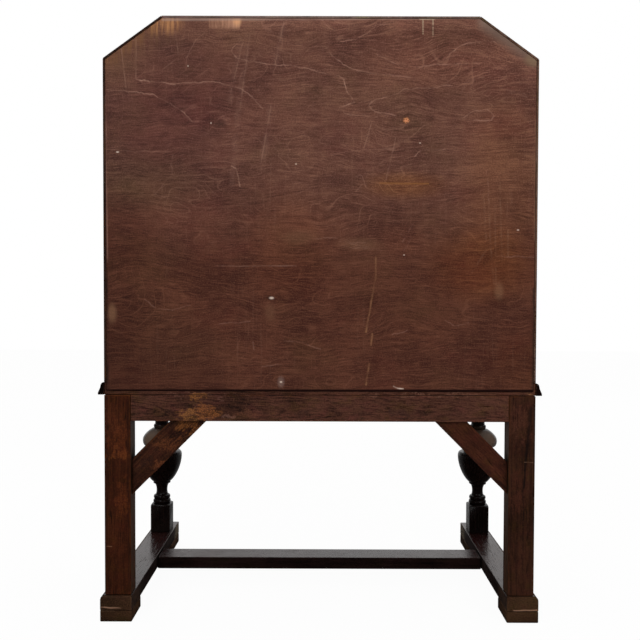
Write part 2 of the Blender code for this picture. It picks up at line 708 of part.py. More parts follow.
# Fall: it lies on the sloping front edges of the case, and its own edges follow the case's outline
def build_fall(wood, brass):
    """The fall and its hinges, made lying open about the hinge axis. Their pivot turns them shut."""
    turn = FALL_SLOPE - math.pi
    hinge = pivot("fall_pivot", (0, HINGE_Y, WRITING_HEIGHT), turn)
    outward = Vector((0, -FALL_SIN, FALL_COS))
    upward = Vector((0, FALL_COS, FALL_SIN))
    shoulder, crown = inset_corner(SHOULDER, CROWN, FALL_INSET)
    outline = [(x, z - WRITING_HEIGHT) for x, z in canted_outline(shoulder, crown, BED_LOW)]
    bm = prism(outline, -CASE_DEPTH, CASE_DEPTH, along_y)
    slice_off(bm, outward * (FALL_THICKNESS + GAP), outward)
    slice_off(bm, outward * GAP, -outward)
    slice_off(bm, upward * FALL_LOWER_GAP, -upward)
    bmesh.ops.rotate(bm, verts=bm.verts, matrix=Matrix.Rotation(-turn, 3, "X"))
    bmesh.ops.recalc_face_normals(bm, faces=bm.faces)
    work_fields(bm, [face for face in bm.faces if face.normal.z < -0.99], FALL_MARGIN)
    fall = piece("fall", bm, wood, parent=hinge)
    for name, side in SIDES:
        place = (side * HINGE_X, 0, 0)
        recess = hinge_recess(-1)
        bmesh.ops.translate(recess, verts=recess.verts, vec=place)
        carve(fall, recess)
        build_moving_leaf(f"hinge_fall_leaf_{name}", place, hinge, brass)
        fixed_place = (place[0], HINGE_Y, WRITING_HEIGHT)
        build_fixed_leaf(f"hinge_bed_leaf_{name}", fixed_place, brass)


def build_fixed_leaf(name, place, brass):
    """Leaf let into the writing bed, with the two outer knuckles and the pin."""
    end = HINGE_LENGTH / 2
    middle = HINGE_MIDDLE / 2 + GAP
    clear = KNUCKLE_RADIUS + GAP
    outline = [(-end, 0), (-middle, 0), (-middle, clear), (middle, clear), (middle, 0), (end, 0)]
    outline += [(end, LEAF_WIDTH), (-end, LEAF_WIDTH)]
    leaf = piece(name, prism(outline, -LEAF_THICKNESS, 0, along_z), brass, at=place, smooth=True)
    knuckles = bmesh.new()
    add_rod(knuckles, KNUCKLE_RADIUS, -end, -middle, (0, 0))
    add_rod(knuckles, KNUCKLE_RADIUS, middle, end, (0, 0))
    fuse(leaf, knuckles)
    fuse(leaf, rod(PIN_RADIUS, -middle - OVERLAP, middle + OVERLAP, (0, 0)))


def build_moving_leaf(name, place, hinge, brass):
    """Leaf let into the fall, with the middle knuckle, bored for the pin."""
    end = HINGE_LENGTH / 2
    middle = HINGE_MIDDLE / 2
    clear = -KNUCKLE_RADIUS - GAP
    outline = [(-end, clear), (-middle, clear), (-middle, 0), (middle, 0), (middle, clear), (end, clear)]
    outline += [(end, -LEAF_WIDTH), (-end, -LEAF_WIDTH)]
    leaf = piece(name, prism(outline, -LEAF_THICKNESS, 0, along_z), brass, parent=hinge, at=place, smooth=True)
    fuse(leaf, rod(KNUCKLE_RADIUS, -middle, middle, (0, 0)))
    carve(leaf, rod(PIN_RADIUS + PIN_CLEARANCE, -end, end, (0, 0)))


# Lopers and drawers
def build_loper(name, side, wood):
    """A slide beside the upper drawer that carries the open fall."""
    width = side * LOPER_WIDTH
    body = box((0, 0, 0), (width, CASE_DEPTH - BACK_THICKNESS - LOPER_REAR_SPACE, LOPER_TOP - DUST_TOP - DRAWER_RUN_GAP))
    piece(name, body, wood, at=(side * LOPER_INNER, CASE_FRONT, DUST_TOP + DRAWER_RUN_GAP))


def build_drawer(name, half_opening, low, high, wood, lining, brass):
    """A drawer. Its own origin is the middle of its opening's lower front edge."""
    slide = pivot(f"{name}_slide", (0, CASE_FRONT, low))
    height = high - low
    base = DRAWER_RUN_GAP
    end = half_opening - DRAWER_GAP
    front_back = DRAWER_FRONT
    rear = CASE_DEPTH - BACK_THICKNESS - DRAWER_REAR_SPACE
    outer = half_opening - DRAWER_SIDE_GAP
    inner = outer - DRAWER_SIDE
    bottom_low = base + DRAWER_BOTTOM_ABOVE_EDGE
    bottom_top = bottom_low + DRAWER_BOTTOM
    groove_low = bottom_low - GAP
    groove_top = bottom_top + GAP
    groove_front = front_back - DRAWER_GROOVE

    outline = [(0, base), (front_back, base), (front_back, groove_low), (groove_front, groove_low)]
    outline += [(groove_front, groove_top), (front_back, groove_top)]
    outline += [(front_back, height - DRAWER_GAP), (0, height - DRAWER_GAP)]
    front = prism(outline, -end, end, along_x)
    everything = front.verts[:] + front.edges[:] + front.faces[:]
    bmesh.ops.bisect_plane(front, geom=everything, plane_co=(0, 0, 0), plane_no=(1, 0, 0))
    faces = [face for face in front.faces if face.normal.y < -0.99]
    work_fields(front, faces, DRAWER_MARGIN)
    piece(f"{name}_front", front, wood, parent=slide)

    for word, side in SIDES:
        groove = inner + DRAWER_GROOVE
        outline = [(outer, base), (outer, height - DRAWER_SIDE_DROP), (inner, height - DRAWER_SIDE_DROP)]
        outline += [(inner, groove_top), (groove, groove_top), (groove, groove_low), (inner, groove_low)]
        outline += [(inner, base)]
        board = prism([(side * x, z) for x, z in outline], front_back + GAP, rear, along_y)
        piece(f"{name}_side_{word}", board, lining, parent=slide)
        place = Vector((side * end / 2, 0, (base + height - DRAWER_GAP) / 2))
        build_handle(f"{name}_handle_{word}", place, slide, brass)

    back_rear = rear - DRAWER_BACK_INSET
    back_low = (GAP - inner, back_rear - DRAWER_BACK, bottom_top + GAP)
    back_high = (inner - GAP, back_rear, height - DRAWER_BACK_DROP)
    piece(f"{name}_back", box(back_low, back_high), lining, parent=slide)
    bottom_end = inner + DRAWER_GROOVE - GAP
    bottom = box((-bottom_end, groove_front + GAP, bottom_low), (bottom_end, back_rear, bottom_top))
    piece(f"{name}_bottom", bottom, lining, parent=slide)


def build_handle(name, place, slide, brass):
    """A rose with two ears and a pin, and a drop whose origin is the pin."""
    edge = 0.45 * ROSE_THICKNESS
    outline = [(0, GAP), (ROSE_RADIUS, GAP), (ROSE_RADIUS, edge)]
    start = (0.86 * ROSE_RADIUS, ROSE_THICKNESS)
    outline += curve((ROSE_RADIUS, edge), (ROSE_RADIUS, 0.8 * ROSE_THICKNESS), (0.94 * ROSE_RADIUS, start[1]), start)
    outline += [(0, ROSE_THICKNESS)]
    disc = turned(outline, ROUND_STEPS)
    bmesh.ops.rotate(disc, verts=disc.verts, matrix=Matrix.Rotation(math.pi / 2, 3, "X"))
    rose = piece(f"{name}_rose", disc, brass, parent=slide, at=place, smooth=True)
    ears = bmesh.new()
    inside = EYE_WIDTH / 2 + GAP
    outside = inside + EAR_THICKNESS
    tip = -HANDLE_STANDOFF - EAR_HALF_HEIGHT
    for word, side in SIDES:
        corner = (side * inside, tip, -EAR_HALF_HEIGHT)
        add_box(ears, corner, (side * outside, -ROSE_THICKNESS / 2, EAR_HALF_HEIGHT))
    fuse(rose, ears)
    grip = 0.6 * EAR_THICKNESS
    fuse(rose, rod(HANDLE_PIN_RADIUS, -inside - grip, inside + grip, (-HANDLE_STANDOFF, 0)))

    neck = 0.55 * EYE_WIDTH
    belly = 0.70 * DROP_LENGTH
    base = 0.88 * DROP_LENGTH
    outline = [(0, -EYE_RADIUS / 2), (neck, -EYE_RADIUS / 2)]
    shoulder = (neck, -0.22 * DROP_LENGTH)
    outline += [shoulder]
    outline += curve(shoulder, (neck, -0.4 * DROP_LENGTH), (DROP_RADIUS, -0.5 * DROP_LENGTH), (DROP_RADIUS, -belly))
    outline += curve((DROP_RADIUS, -belly), (DROP_RADIUS, -0.8 * DROP_LENGTH), (neck, -base), (0.8 * neck, -base))
    outline += curve((0.8 * neck, -base), (neck, -0.93 * DROP_LENGTH), (neck, -DROP_LENGTH), (0, -DROP_LENGTH))
    hang = place + Vector((0, -HANDLE_STANDOFF, 0))
    drop = piece(f"{name}_drop", turned(outline, SMALL_STEPS), brass, parent=slide, at=hang, smooth=True)
    fuse(drop, rod(EYE_RADIUS, -EYE_WIDTH / 2, EYE_WIDTH / 2, (0, 0)))
    carve(drop, rod(HANDLE_PIN_RADIUS + PIN_CLEARANCE, -EYE_WIDTH, EYE_WIDTH, (0, 0)))


def build_bureau():
    for old in list(bpy.data.objects):
        bpy.data.objects.remove(old, do_unlink=True)
    oak = make_material("dark_oak", (0.038, 0.014, 0.008), 0.42)
    plywood = make_material("stained_plywood", (0.095, 0.038, 0.025), 0.55)
    lining = make_material("drawer_lining", (0.320, 0.200, 0.110), 0.65)
    brass = make_material("aged_brass", (0.420, 0.270, 0.100), 0.38, 1.0)
    build_stand(oak)
    build_case_shell(oak, plywood)
    build_base_mouldings(oak)
    build_case_inside(oak)
    build_fall(oak, brass)
    for name, side in SIDES:
        build_loper(f"loper_{name}", side, oak)
    build_drawer("lower_drawer", INNER, BOTTOM_TOP, DUST_LOW, oak, lining, brass)
    build_drawer("upper_drawer", PARTITION_INNER, DUST_TOP, RAIL_LOW, oak, lining, brass)


build_bureau()
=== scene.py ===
# %% [markdown]
# # A writing bureau, seen from behind
#
# The bureau is a slope-front desk of dark oak on a low stand, with a stained plywood back. Its sizes are
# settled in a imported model, which is loaded first and never moved. This lesson dresses it: each board is
# made again with eased edges, the legs are turned finely, and every surface gets its wood or brass.
# Lengths are in metres, +Z is up, and the front of the desk faces -Y.

# %% Load the frame
import math

import bmesh
import bpy
from mathutils import Matrix, Vector
from mathutils.geometry import interpolate_bezier


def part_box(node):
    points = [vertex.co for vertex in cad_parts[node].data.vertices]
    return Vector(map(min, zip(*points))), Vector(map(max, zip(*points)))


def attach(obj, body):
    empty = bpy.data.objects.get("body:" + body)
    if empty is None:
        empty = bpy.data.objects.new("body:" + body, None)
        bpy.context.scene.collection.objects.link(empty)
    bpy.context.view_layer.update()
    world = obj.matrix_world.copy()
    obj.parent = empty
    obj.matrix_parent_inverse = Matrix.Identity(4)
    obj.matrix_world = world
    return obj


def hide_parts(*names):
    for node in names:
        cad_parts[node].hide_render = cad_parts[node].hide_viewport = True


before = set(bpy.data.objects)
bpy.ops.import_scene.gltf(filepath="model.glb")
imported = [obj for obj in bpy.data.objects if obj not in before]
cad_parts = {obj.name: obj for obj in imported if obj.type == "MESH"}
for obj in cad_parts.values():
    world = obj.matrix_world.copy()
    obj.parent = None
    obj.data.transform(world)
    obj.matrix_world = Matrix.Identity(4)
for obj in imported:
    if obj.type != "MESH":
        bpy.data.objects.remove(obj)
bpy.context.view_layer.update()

# %% [markdown]
# ## The camera
#
# The photograph was taken from almost straight behind, by a camera tipped down by less than two degrees.
# It could be placed by eye, but it was fitted to the edges of the back, the legs and the feet. So it can
# also turn a pixel of the 640 by 640 picture into a place on the back, where a scratch or a knot belongs.

# %% Camera
BACK_PLANE = 0.227  # where the rear face of the back stands
CAMERA_SPOT = Vector((-0.0011, 1.5949, 0.5750))
CAMERA_PAN = 0.0009
CAMERA_TILT = 0.0276
CAMERA_ROLL = 0.0031
CAMERA_LENS = 43.74
SENSOR = 36
PICTURE = 640
FOCAL = PICTURE * CAMERA_LENS / SENSOR
MIDDLE = PICTURE / 2

bpy.ops.object.select_all(action="DESELECT")
bpy.ops.object.camera_add()
camera = bpy.context.object
camera.name = "camera_behind"
camera.data.sensor_fit = "HORIZONTAL"
camera.data.sensor_width = SENSOR
camera.data.lens = CAMERA_LENS
turn = Matrix.Rotation(math.pi + CAMERA_PAN, 4, "Z") @ Matrix.Rotation(math.pi / 2 - CAMERA_TILT, 4, "X")
turn = turn @ Matrix.Rotation(CAMERA_ROLL, 4, "Z")
camera.matrix_world = Matrix.Translation(CAMERA_SPOT) @ turn
bpy.context.scene.camera = camera


def on_back(across, down):
    """The place on the plane of the back that shows at a pixel of the picture."""
    sight = turn.to_3x3() @ Vector(((across - MIDDLE) / FOCAL, (MIDDLE - down) / FOCAL, -1))
    return CAMERA_SPOT + sight * ((BACK_PLANE - CAMERA_SPOT.y) / sight.y)


PIXEL = (on_back(MIDDLE, MIDDLE) - on_back(MIDDLE + 1, MIDDLE)).length
print("one pixel on the back is", round(PIXEL * 1000, 2), "mm")

# %% [markdown]
# ## Wires
#
# A material is a graph of small nodes. By hand, each is added, set and wired with the mouse. Written out
# one by one they fill pages, so an output is wrapped as a wire that knows sums: a sum or a product of two
# wires adds the node that does it. One function adds any other node and feeds its sockets.

# %% Wires
tree = None  # the node tree that is being wired


class Wire:
    """One output of a node. A sum or a product with it adds the node that works it out."""

    def __init__(self, socket):
        self.socket = socket
        self.is_number = socket.type == "VALUE"

    def join(self, operation, other):
        kind = "ShaderNodeMath" if self.is_number else "ShaderNodeVectorMath"
        return add(kind, self, other, operation=operation)

    def __add__(self, other):
        return self.join("ADD", other)

    def __sub__(self, other):
        return self.join("SUBTRACT", other)

    def __truediv__(self, other):
        return self.join("DIVIDE", other)

    def __mul__(self, other):
        by_number = getattr(other, "is_number", isinstance(other, (int, float)))
        if by_number and not self.is_number:
            return add("ShaderNodeVectorMath", self, operation="SCALE", Scale=other)
        return self.join("MULTIPLY", other)


def feed(socket, value):
    """Wires an output into a socket, or sets the socket to a plain value."""
    if isinstance(value, Wire):
        tree.links.new(value.socket, socket)
    else:
        socket.default_value = value


def add(kind, *values, output=0, **named):
    """Adds a node and feeds its sockets in order. Named values are sockets if capital, settings if not."""
    made = tree.nodes.new(kind)
    for name, value in named.items():
        if name.islower():
            setattr(made, name, value)
    for socket, value in zip(made.inputs, values):
        feed(socket, value)
    for name, value in named.items():
        if not name.islower():
            feed(made.inputs[name], value)
    return Wire(made.outputs[output]) if made.outputs else None


print("wires ready")


# %% Nodes used often
def calc(operation, *values):
    return add("ShaderNodeMath", *values, operation=operation)


def measure(operation, *values):
    """A number measured on vectors, such as a length."""
    return add("ShaderNodeVectorMath", *values, operation=operation, output="Value")


def axis(place, name):
    return add("ShaderNodeSeparateXYZ", place, output=name)


def ease(value, start, end, bottom=0.0, top=1.0):
    """Goes smoothly from bottom to top while the value goes from start to end."""
    return add("ShaderNodeMapRange", value, start, end, bottom, top, interpolation_type="SMOOTHSTEP")


def speckle(source, stretch, detail=2.0, rough=0.5, output=0):
    """Noise whose spots repeat about so many times per metre along each axis."""
    return add("ShaderNodeTexNoise", source * stretch, output=output, Scale=1.0, Detail=detail, Roughness=rough)


def shake(source, stretch, detail=2.0, rough=0.5):
    """The same noise as a push to and fro along each axis."""
    return speckle(source, stretch, detail, rough, "Color") - (0.5, 0.5, 0.5)


def light(tone):
    """Turns a colour as it looks on the screen, three numbers 0 to 255, into light; passes on the rest."""
    if isinstance(tone, Wire) or len(tone) == 4:
        return tone
    parts = [value / 255 for value in tone]
    return (*(part / 12.92 if part <= 0.04045 else ((part + 0.055) / 1.055) ** 2.4 for part in parts), 1.0)


def tint(amount, under, over, way="MIX"):
    """Lays one colour over another."""
    made = tree.nodes.new("ShaderNodeMix")
    made.data_type = "RGBA"
    made.blend_type = way
    made.clamp_factor = True
    for index, value in ((0, amount), (6, light(under)), (7, light(over))):
        feed(made.inputs[index], value)
    return Wire(made.outputs[2])


def layers(wood, source, *steps):
    """Lays tones over the wood, each coming up to its amount while the source goes from start to end."""
    for start, end, amount, tone in steps:
        wood = tint(ease(source, start, end, 0.0, amount), wood, tone)
    return wood


print("helpers for sums, noise and colour ready")


# %% Materials and groups
def new_finish(name):
    """A new material, to be wired next: gives it, its shader's sockets and the place on the piece."""
    global tree
    material = bpy.data.materials.new(name)
    material.use_nodes = True
    tree = material.node_tree
    return material, tree.nodes["Principled BSDF"].inputs, add("ShaderNodeTexCoord", output="Object")


def surface(shader, tone, rough, relief, strength, depth=0.0004):
    """Feeds a shader its colour, its roughness and a fine relief."""
    feed(shader["Base Color"], tone)
    feed(shader["Roughness"], rough)
    feed(shader["Normal"], add("ShaderNodeBump", Strength=strength, Distance=depth, Height=relief))


def new_group(name, vectors, numbers, outputs):
    """An empty node group, to be wired next: gives it, its inputs and the sockets of its output node."""
    global tree
    tree = bpy.data.node_groups.new(name, "ShaderNodeTree")
    kinds = (vectors, "INPUT", "Vector"), (numbers, "INPUT", "Float"), (outputs, "OUTPUT", "Float")
    for words, way, kind in kinds:
        for word in words:
            tree.interface.new_socket(word, in_out=way, socket_type=f"NodeSocket{kind}")
    came = {socket.name: Wire(socket) for socket in tree.nodes.new("NodeGroupInput").outputs}
    return tree, came, tree.nodes.new("NodeGroupOutput").inputs


def use(group, **values):
    """Places a node group, feeds its sockets by name and gives its outputs by name."""
    made = tree.nodes.new("ShaderNodeGroup")
    made.node_tree = group
    for name, value in values.items():
        feed(made.inputs[name], value)
    return {socket.name: Wire(socket) for socket in made.outputs}


def count_nodes(name):
    print(name, "has", len(tree.nodes), "nodes")


print("helpers for materials and groups ready")

# %% [markdown]
# ## The studio
#
# The photograph is a plain studio picture: white all round, with soft light. A bare white dome could give
# it, but then the polish on the dark legs would turn grey all over. So the dome is white behind the bureau
# and overhead, and dimmer on the side of the camera, where two large soft lamps stand. What the camera
# sees of the dome is plain white. The floor is pale and keeps a soft shadow.

# %% World
WHITE = (1, 1, 1, 1)


def ray(kind):
    """One for rays of this kind, otherwise nought."""
    return add("ShaderNodeLightPath", output=f"Is {kind} Ray")


scene = bpy.context.scene
scene.view_settings.view_transform = "Standard"
world = bpy.data.worlds.new("white_studio")
scene.world = world
world.use_nodes = True
tree = world.node_tree
tree.nodes.clear()
direction = add("ShaderNodeTexCoord", output="Generated")
dome_level = ease(axis(direction, "Y"), -0.35, 0.75, 0.90, 0.30)
mirror_level = ease(axis(direction, "Y"), -0.85, -0.45, 1.0, 0.12)
mirror_level = calc("MAXIMUM", mirror_level, ease(axis(direction, "Z"), 0.45, 0.85, 0.12, 0.75))
dome, mirrored, seen = (add("ShaderNodeBackground", WHITE, level) for level in (dome_level, mirror_level, 1.0))
both = add("ShaderNodeMixShader", ray("Glossy"), dome, mirrored)
both = add("ShaderNodeMixShader", calc("MAXIMUM", ray("Camera"), ray("Transmission")), both, seen)
add("ShaderNodeOutputWorld", both)


def soft_lamp(name, location, target, size, power):
    bpy.ops.object.light_add(type="AREA", location=location)
    lamp = bpy.context.object
    lamp.name = name
    lamp.data.shape = "SQUARE"
    lamp.data.size = size
    lamp.data.energy = power
    lamp.visible_camera = False
    aim = Vector(target) - Vector(location)
    lamp.rotation_euler = aim.to_track_quat("-Z", "Y").to_euler()


soft_lamp("lamp_behind_high", (1.1, 3.0, 2.3), (0, 0.2, 0.6), 1.8, 42)
soft_lamp("lamp_behind_side", (-1.9, 2.3, 1.4), (0, 0.2, 0.5), 1.4, 16)
soft_lamp("lamp_front", (-1.2, -2.6, 2.4), (0, 0, 0.6), 1.8, 8)

# %% Floor
FLOOR_SHOWS_WHITE = 0.96
FLOOR_PALE = (0.96, 0.96, 0.96, 1)
bpy.ops.mesh.primitive_plane_add(size=14, location=(0, 0, -0.0004))
floor = bpy.context.object
floor.name = "studio_floor"
floor_paint = bpy.data.materials.new("pale_floor")
floor_paint.use_nodes = True
tree = floor_paint.node_tree
tree.nodes.clear()
looked_at = calc("MAXIMUM", calc("MAXIMUM", ray("Camera"), ray("Glossy")), ray("Transmission"))
matt = add("ShaderNodeBsdfDiffuse", FLOOR_PALE)
lit = add("ShaderNodeEmission", WHITE, 1.0)
add("ShaderNodeOutputMaterial", add("ShaderNodeMixShader", looked_at * FLOOR_SHOWS_WHITE, matt, lit))
floor.data.materials.append(floor_paint)
print("floor laid at", round(floor.location.z * 1000, 1), "mm")

# %% [markdown]
# ## A black card
#
# A photographer keeps dark polish dark with a black card, laid where the polish would mirror the white
# floor. A darker stain could do the same, but it would hide the grain. The card lies under the bureau and
# out towards the camera, and turns grey beyond the front legs, so that the sides of the legs still catch
# a little light. Only reflections see it.

# %% Black card
CARD_BLACK = (0.03, 0.03, 0.03, 1)
CARD_GREY = (0.4, 0.4, 0.4, 1)
CARD_TURNS_GREY = (-0.320, -0.350)
bpy.ops.mesh.primitive_plane_add(size=1, location=(0, 2.3, 0.002))
card = bpy.context.object
card.name = "black_card"
card.scale = (7, 7.8, 1)
card.visible_camera = False
card.visible_diffuse = False
card.visible_shadow = False
card_paint, shader, place = new_finish("black_card_paint")
feed(shader["Base Color"], tint(ease(axis(place, "Y"), *CARD_TURNS_GREY), CARD_BLACK, CARD_GREY))
shader["Specular IOR Level"].default_value = 0.0
card.data.materials.append(card_paint)
print("black card covers", round(card.scale.x * card.scale.y), "square metres")

# %% [markdown]
# ## Marks that can be placed
#
# An old back is known by its scratches, chips and worn patches. They could be painted on an image, but
# here nothing is read from a picture. Two small node groups measure distance instead: one gives a thin
# line between two points, the other a soft oval about a centre. Each is used many times.

# %% Group: a scratch between two points
scratch_group, came, leaves = new_group("scratch", ["Place", "Start", "End"], ["Width"], ["Mask"])
from_start = came["Place"] - came["Start"]
whole = came["End"] - came["Start"]
along = measure("DOT_PRODUCT", from_start, whole) / measure("DOT_PRODUCT", whole, whole)
along = calc("MINIMUM", calc("MAXIMUM", along, 0.0), 1.0)
aside = measure("LENGTH", from_start - whole * along)
feed(leaves["Mask"], ease(aside / came["Width"], 1.0, 0.15))
count_nodes(tree.name)

# %% Group: a soft spot
spot_group, came, leaves = new_group("spot", ["Place", "Centre", "Size"], [], ["Mask"])
off = (came["Place"] - came["Centre"]) / came["Size"]
feed(leaves["Mask"], ease(measure("LENGTH", off), 1.0, 0.25))
count_nodes(tree.name)

# %% [markdown]
# ## Edge wear, settled grime and painted shade
#
# Polish wears through first on the arrises, and dirt stays in the corners. Both could be painted by hand,
# but two nodes find the places by themselves: the Bevel node bends the normal near an edge, and Ambient
# Occlusion is dark where surfaces meet, so its grime is painted shade as well. Noise breaks both up,
# because neither is ever even.

# %% Group: edge wear
wear_group, came, leaves = new_group("edge wear", ["Place"], [], ["Wear"])
rounded = add("ShaderNodeBevel", 0.0045, samples=4)
flat_normal = add("ShaderNodeNewGeometry", output="Normal")
bent = calc("SUBTRACT", 1.0, measure("DOT_PRODUCT", rounded, flat_normal))
patchy = speckle(came["Place"], (38, 38, 38), 4.0, 0.65)
feed(leaves["Wear"], ease(bent, 0.01, 0.16) * ease(patchy, 0.42, 0.66))
count_nodes(tree.name)

# %% Group: settled grime and painted shade
grime_and_shade_group, came, leaves = new_group("settled grime and painted shade", ["Place"], [], ["Grime"])
# Ambient Occlusion darkens corners and joints: settled grime and painted shade together.
open_sky = add("ShaderNodeAmbientOcclusion", samples=6, output="AO", Distance=0.016)
cloud = speckle(came["Place"], (22, 22, 22), 3.0, 0.6)
feed(leaves["Grime"], ease(open_sky, 0.95, 0.35) * ease(cloud, 0.15, 0.6, 0.45, 1.0))
count_nodes(tree.name)

# %% [markdown]
# ## The figure of oak
#
# A board is a slice of a tree, so its figure is the tree's rings cut through. A flat stripe texture would
# look the same on every face. Here the rings are measured as the distance from a pith outside the board,
# so an edge and a face of one board agree. Fine fibres run along the grain, which is X in this group, and
# short dark pores lie in the early part of each ring.

# %% Group: oak figure
oak_group, came, leaves = new_group("oak figure", ["Grain"], ["Ring"], ["Rings", "Fibres", "Pores"])
grain = came["Grain"]
sway = shake(grain, (2.6, 11, 11), 3.0, 0.5) * (0, 0.030, 0.030)
jag = shake(grain, (34, 150, 150), 3.0, 0.6) * (0, 0.005, 0.005)
bowed = grain * (0, 1, 1) + (sway + jag)
year = calc("FRACT", measure("LENGTH", bowed) / came["Ring"])
feed(leaves["Rings"], ease(year, 0.35, 0.92) * ease(year, 1.0, 0.90))
feed(leaves["Fibres"], speckle(grain, (9, 380, 380), 3.0, 0.6))
dashes = speckle(grain, (46, 760, 760), 1.0, 0.5)
feed(leaves["Pores"], ease(dashes, 0.56, 0.68) * ease(year, 0.75, 0.20, 0.35, 1.0))
count_nodes(tree.name)

# %% [markdown]
# ## One recipe for all the oak
#
# All the oak is dark, but the grain runs another way in each board, and the finish goes from dry and
# scuffed behind to polished in front. Each could be wired by hand, but one function mixes any of them from
# its grain direction, its three tones and its gloss. A Mapping node turns the grain along X. Worn patches
# have frayed rims and are broken up by scuffs and fine cracks, as flaked stain is.

# %% Oak recipe
GRAIN_X = (0, 0, 0)
GRAIN_Y = (0, 0, -math.pi / 2)
GRAIN_Z = (0, math.pi / 2, 0)
ORANGE = (122, 68, 28)


def make_oak(name, grain, pith, tones, gloss, dull, ring=0.007, worn=ORANGE, wear=0.5, marks=(), veins=()):
    """An oak finish. pith is the tree's middle, tones run dark to pale, marks are spots of wear, dust and painted
    reflection.
    """
    material, shader, place = new_finish(name)
    dark, mid, pale = tones
    moved = place - pith
    lengthwise = add("ShaderNodeMapping", moved, Rotation=grain)
    figure = use(oak_group, Grain=lengthwise, Ring=ring)
    cloud = speckle(place, (7, 7, 7), 4.0, 0.6)
    grit = speckle(place, (430, 430, 430), 3.0, 0.6)
    wood = tint(ease(figure["Rings"], 0.15, 0.95), mid, dark)
    wood = layers(wood, figure["Fibres"], (0.45, 0.78, 0.65, pale), (0.50, 0.25, 0.55, dark))
    wood = layers(wood, cloud, (0.40, 0.75, 0.55, pale), (0.52, 0.25, 0.60, dark))
    wood = layers(wood, grit, (0.50, 0.70, 0.50, pale), (0.50, 0.30, 0.50, dark))
    wood = tint(figure["Pores"] * 0.75, wood, (14, 7, 4))
    hue = speckle(moved, (30, 30, 45), 3.0, 0.6)
    wood = tint(ease(hue, 0.52, 0.68), wood, (0.94, 1.06, 0.82, 1), "MULTIPLY")
    wood = tint(ease(hue, 0.48, 0.32), wood, (1.06, 0.94, 1.06, 1), "MULTIPLY")
    scuffed = speckle(lengthwise, (70, 240, 240), 5.0, 0.75)
    cracks = add("ShaderNodeTexVoronoi", place, Scale=260.0, feature="DISTANCE_TO_EDGE", output="Distance")
    flaked = ease(cracks + scuffed * 0.4, 0.18, 0.40, 0.15, 1.0)
    frayed = place + shake(place, (45, 45, 45), 4.0, 0.65) * 0.05
    flecks = (scuffed - 0.5) * 4.0
    for centre, size, tone, amount in marks:
        spot = use(spot_group, Place=frayed, Centre=centre, Size=size)["Mask"]
        broken = ease(spot + flecks, 0.35, 1.05) * ease(spot, 0.0, 0.5) * flaked
        wood = tint(broken * amount, wood, tone)
    for start, end, width, tone, amount in veins:
        wavy = place + shake(place, (18, 18, 18)) * 0.010
        line = use(scratch_group, Place=wavy, Start=start, End=end, Width=width)["Mask"]
        wood = tint(line * amount, wood, tone)
    wood = tint(use(wear_group, Place=place)["Wear"] * wear, wood, worn)
    # Corners and joints are darkened: grime, and painted shade from Ambient Occlusion.
    dirt_and_shade = use(grime_and_shade_group, Place=place)["Grime"]
    wood = tint(dirt_and_shade * 0.75, wood, (12, 7, 5))
    rough = ease(cloud, 0.3, 0.7, dull - 0.07, dull + 0.07) + figure["Pores"] * 0.18 + dirt_and_shade * 0.15
    shader["Specular IOR Level"].default_value = gloss
    surface(shader, wood, rough, figure["Fibres"] * 0.5 - figure["Pores"], 0.30)
    return material


print("oak recipe ready")


# %% [markdown]
# ## The oaks of the stand
#
# From behind, the stand shows dry oak: red-brown legs and braces and a browner apron, with the stain
# rubbed through to orange. The turned legs, the runners and the stretcher were meant to be seen from the
# front, so they are nearly black and polished. One oak for all would be quicker, but no two sticks of an
# old stand look alike, so each gets its own tones and worn places.

# %% Tones and marks of the stand
dry_red = (42, 17, 7), (55, 24, 10), (74, 36, 17)
dry_red_deep = (33, 16, 9), (48, 25, 14), (66, 38, 25)
dry_brown = (32, 17, 12), (69, 40, 30), (93, 58, 45)
brace_red = (30, 14, 8), (54, 27, 16), (78, 44, 28)
brace_redder = (36, 16, 10), (60, 29, 18), (80, 43, 28)
deep_black = (5, 2, 2), (11, 5, 4), (22, 11, 8)
turned_black = (5, 2, 2), (12, 6, 5), (26, 14, 10)
stretcher_black = (9, 4, 4), (20, 10, 9), (38, 24, 21)
rubbed_black = (16, 5, 5), (31, 11, 10), (47, 19, 17)
dusty_black = (22, 15, 13), (36, 27, 25), (52, 41, 38)
dry_tan = (46, 28, 18), (62, 40, 28), (78, 54, 40)
foot_brown = (32, 19, 10), (54, 34, 20), (76, 52, 34)
black_rub = (70, 42, 28)
seam_rub = (168, 128, 104)
SPOT_DEPTH = 0.03


def worn_spots(*rows):
    """Worn patches on the rear, placed by the picture: across, down, wide, high, tone and amount."""
    return [
        (on_back(across, down), (wide * PIXEL, SPOT_DEPTH, high * PIXEL), tone, amount)
        for across, down, wide, high, tone, amount in rows
    ]


def rear_veins(*rows):
    """Lines on the rear, placed by the picture: start, end, width, tone and amount."""
    return [(on_back(*start), on_back(*end), *look) for start, end, *look in rows]


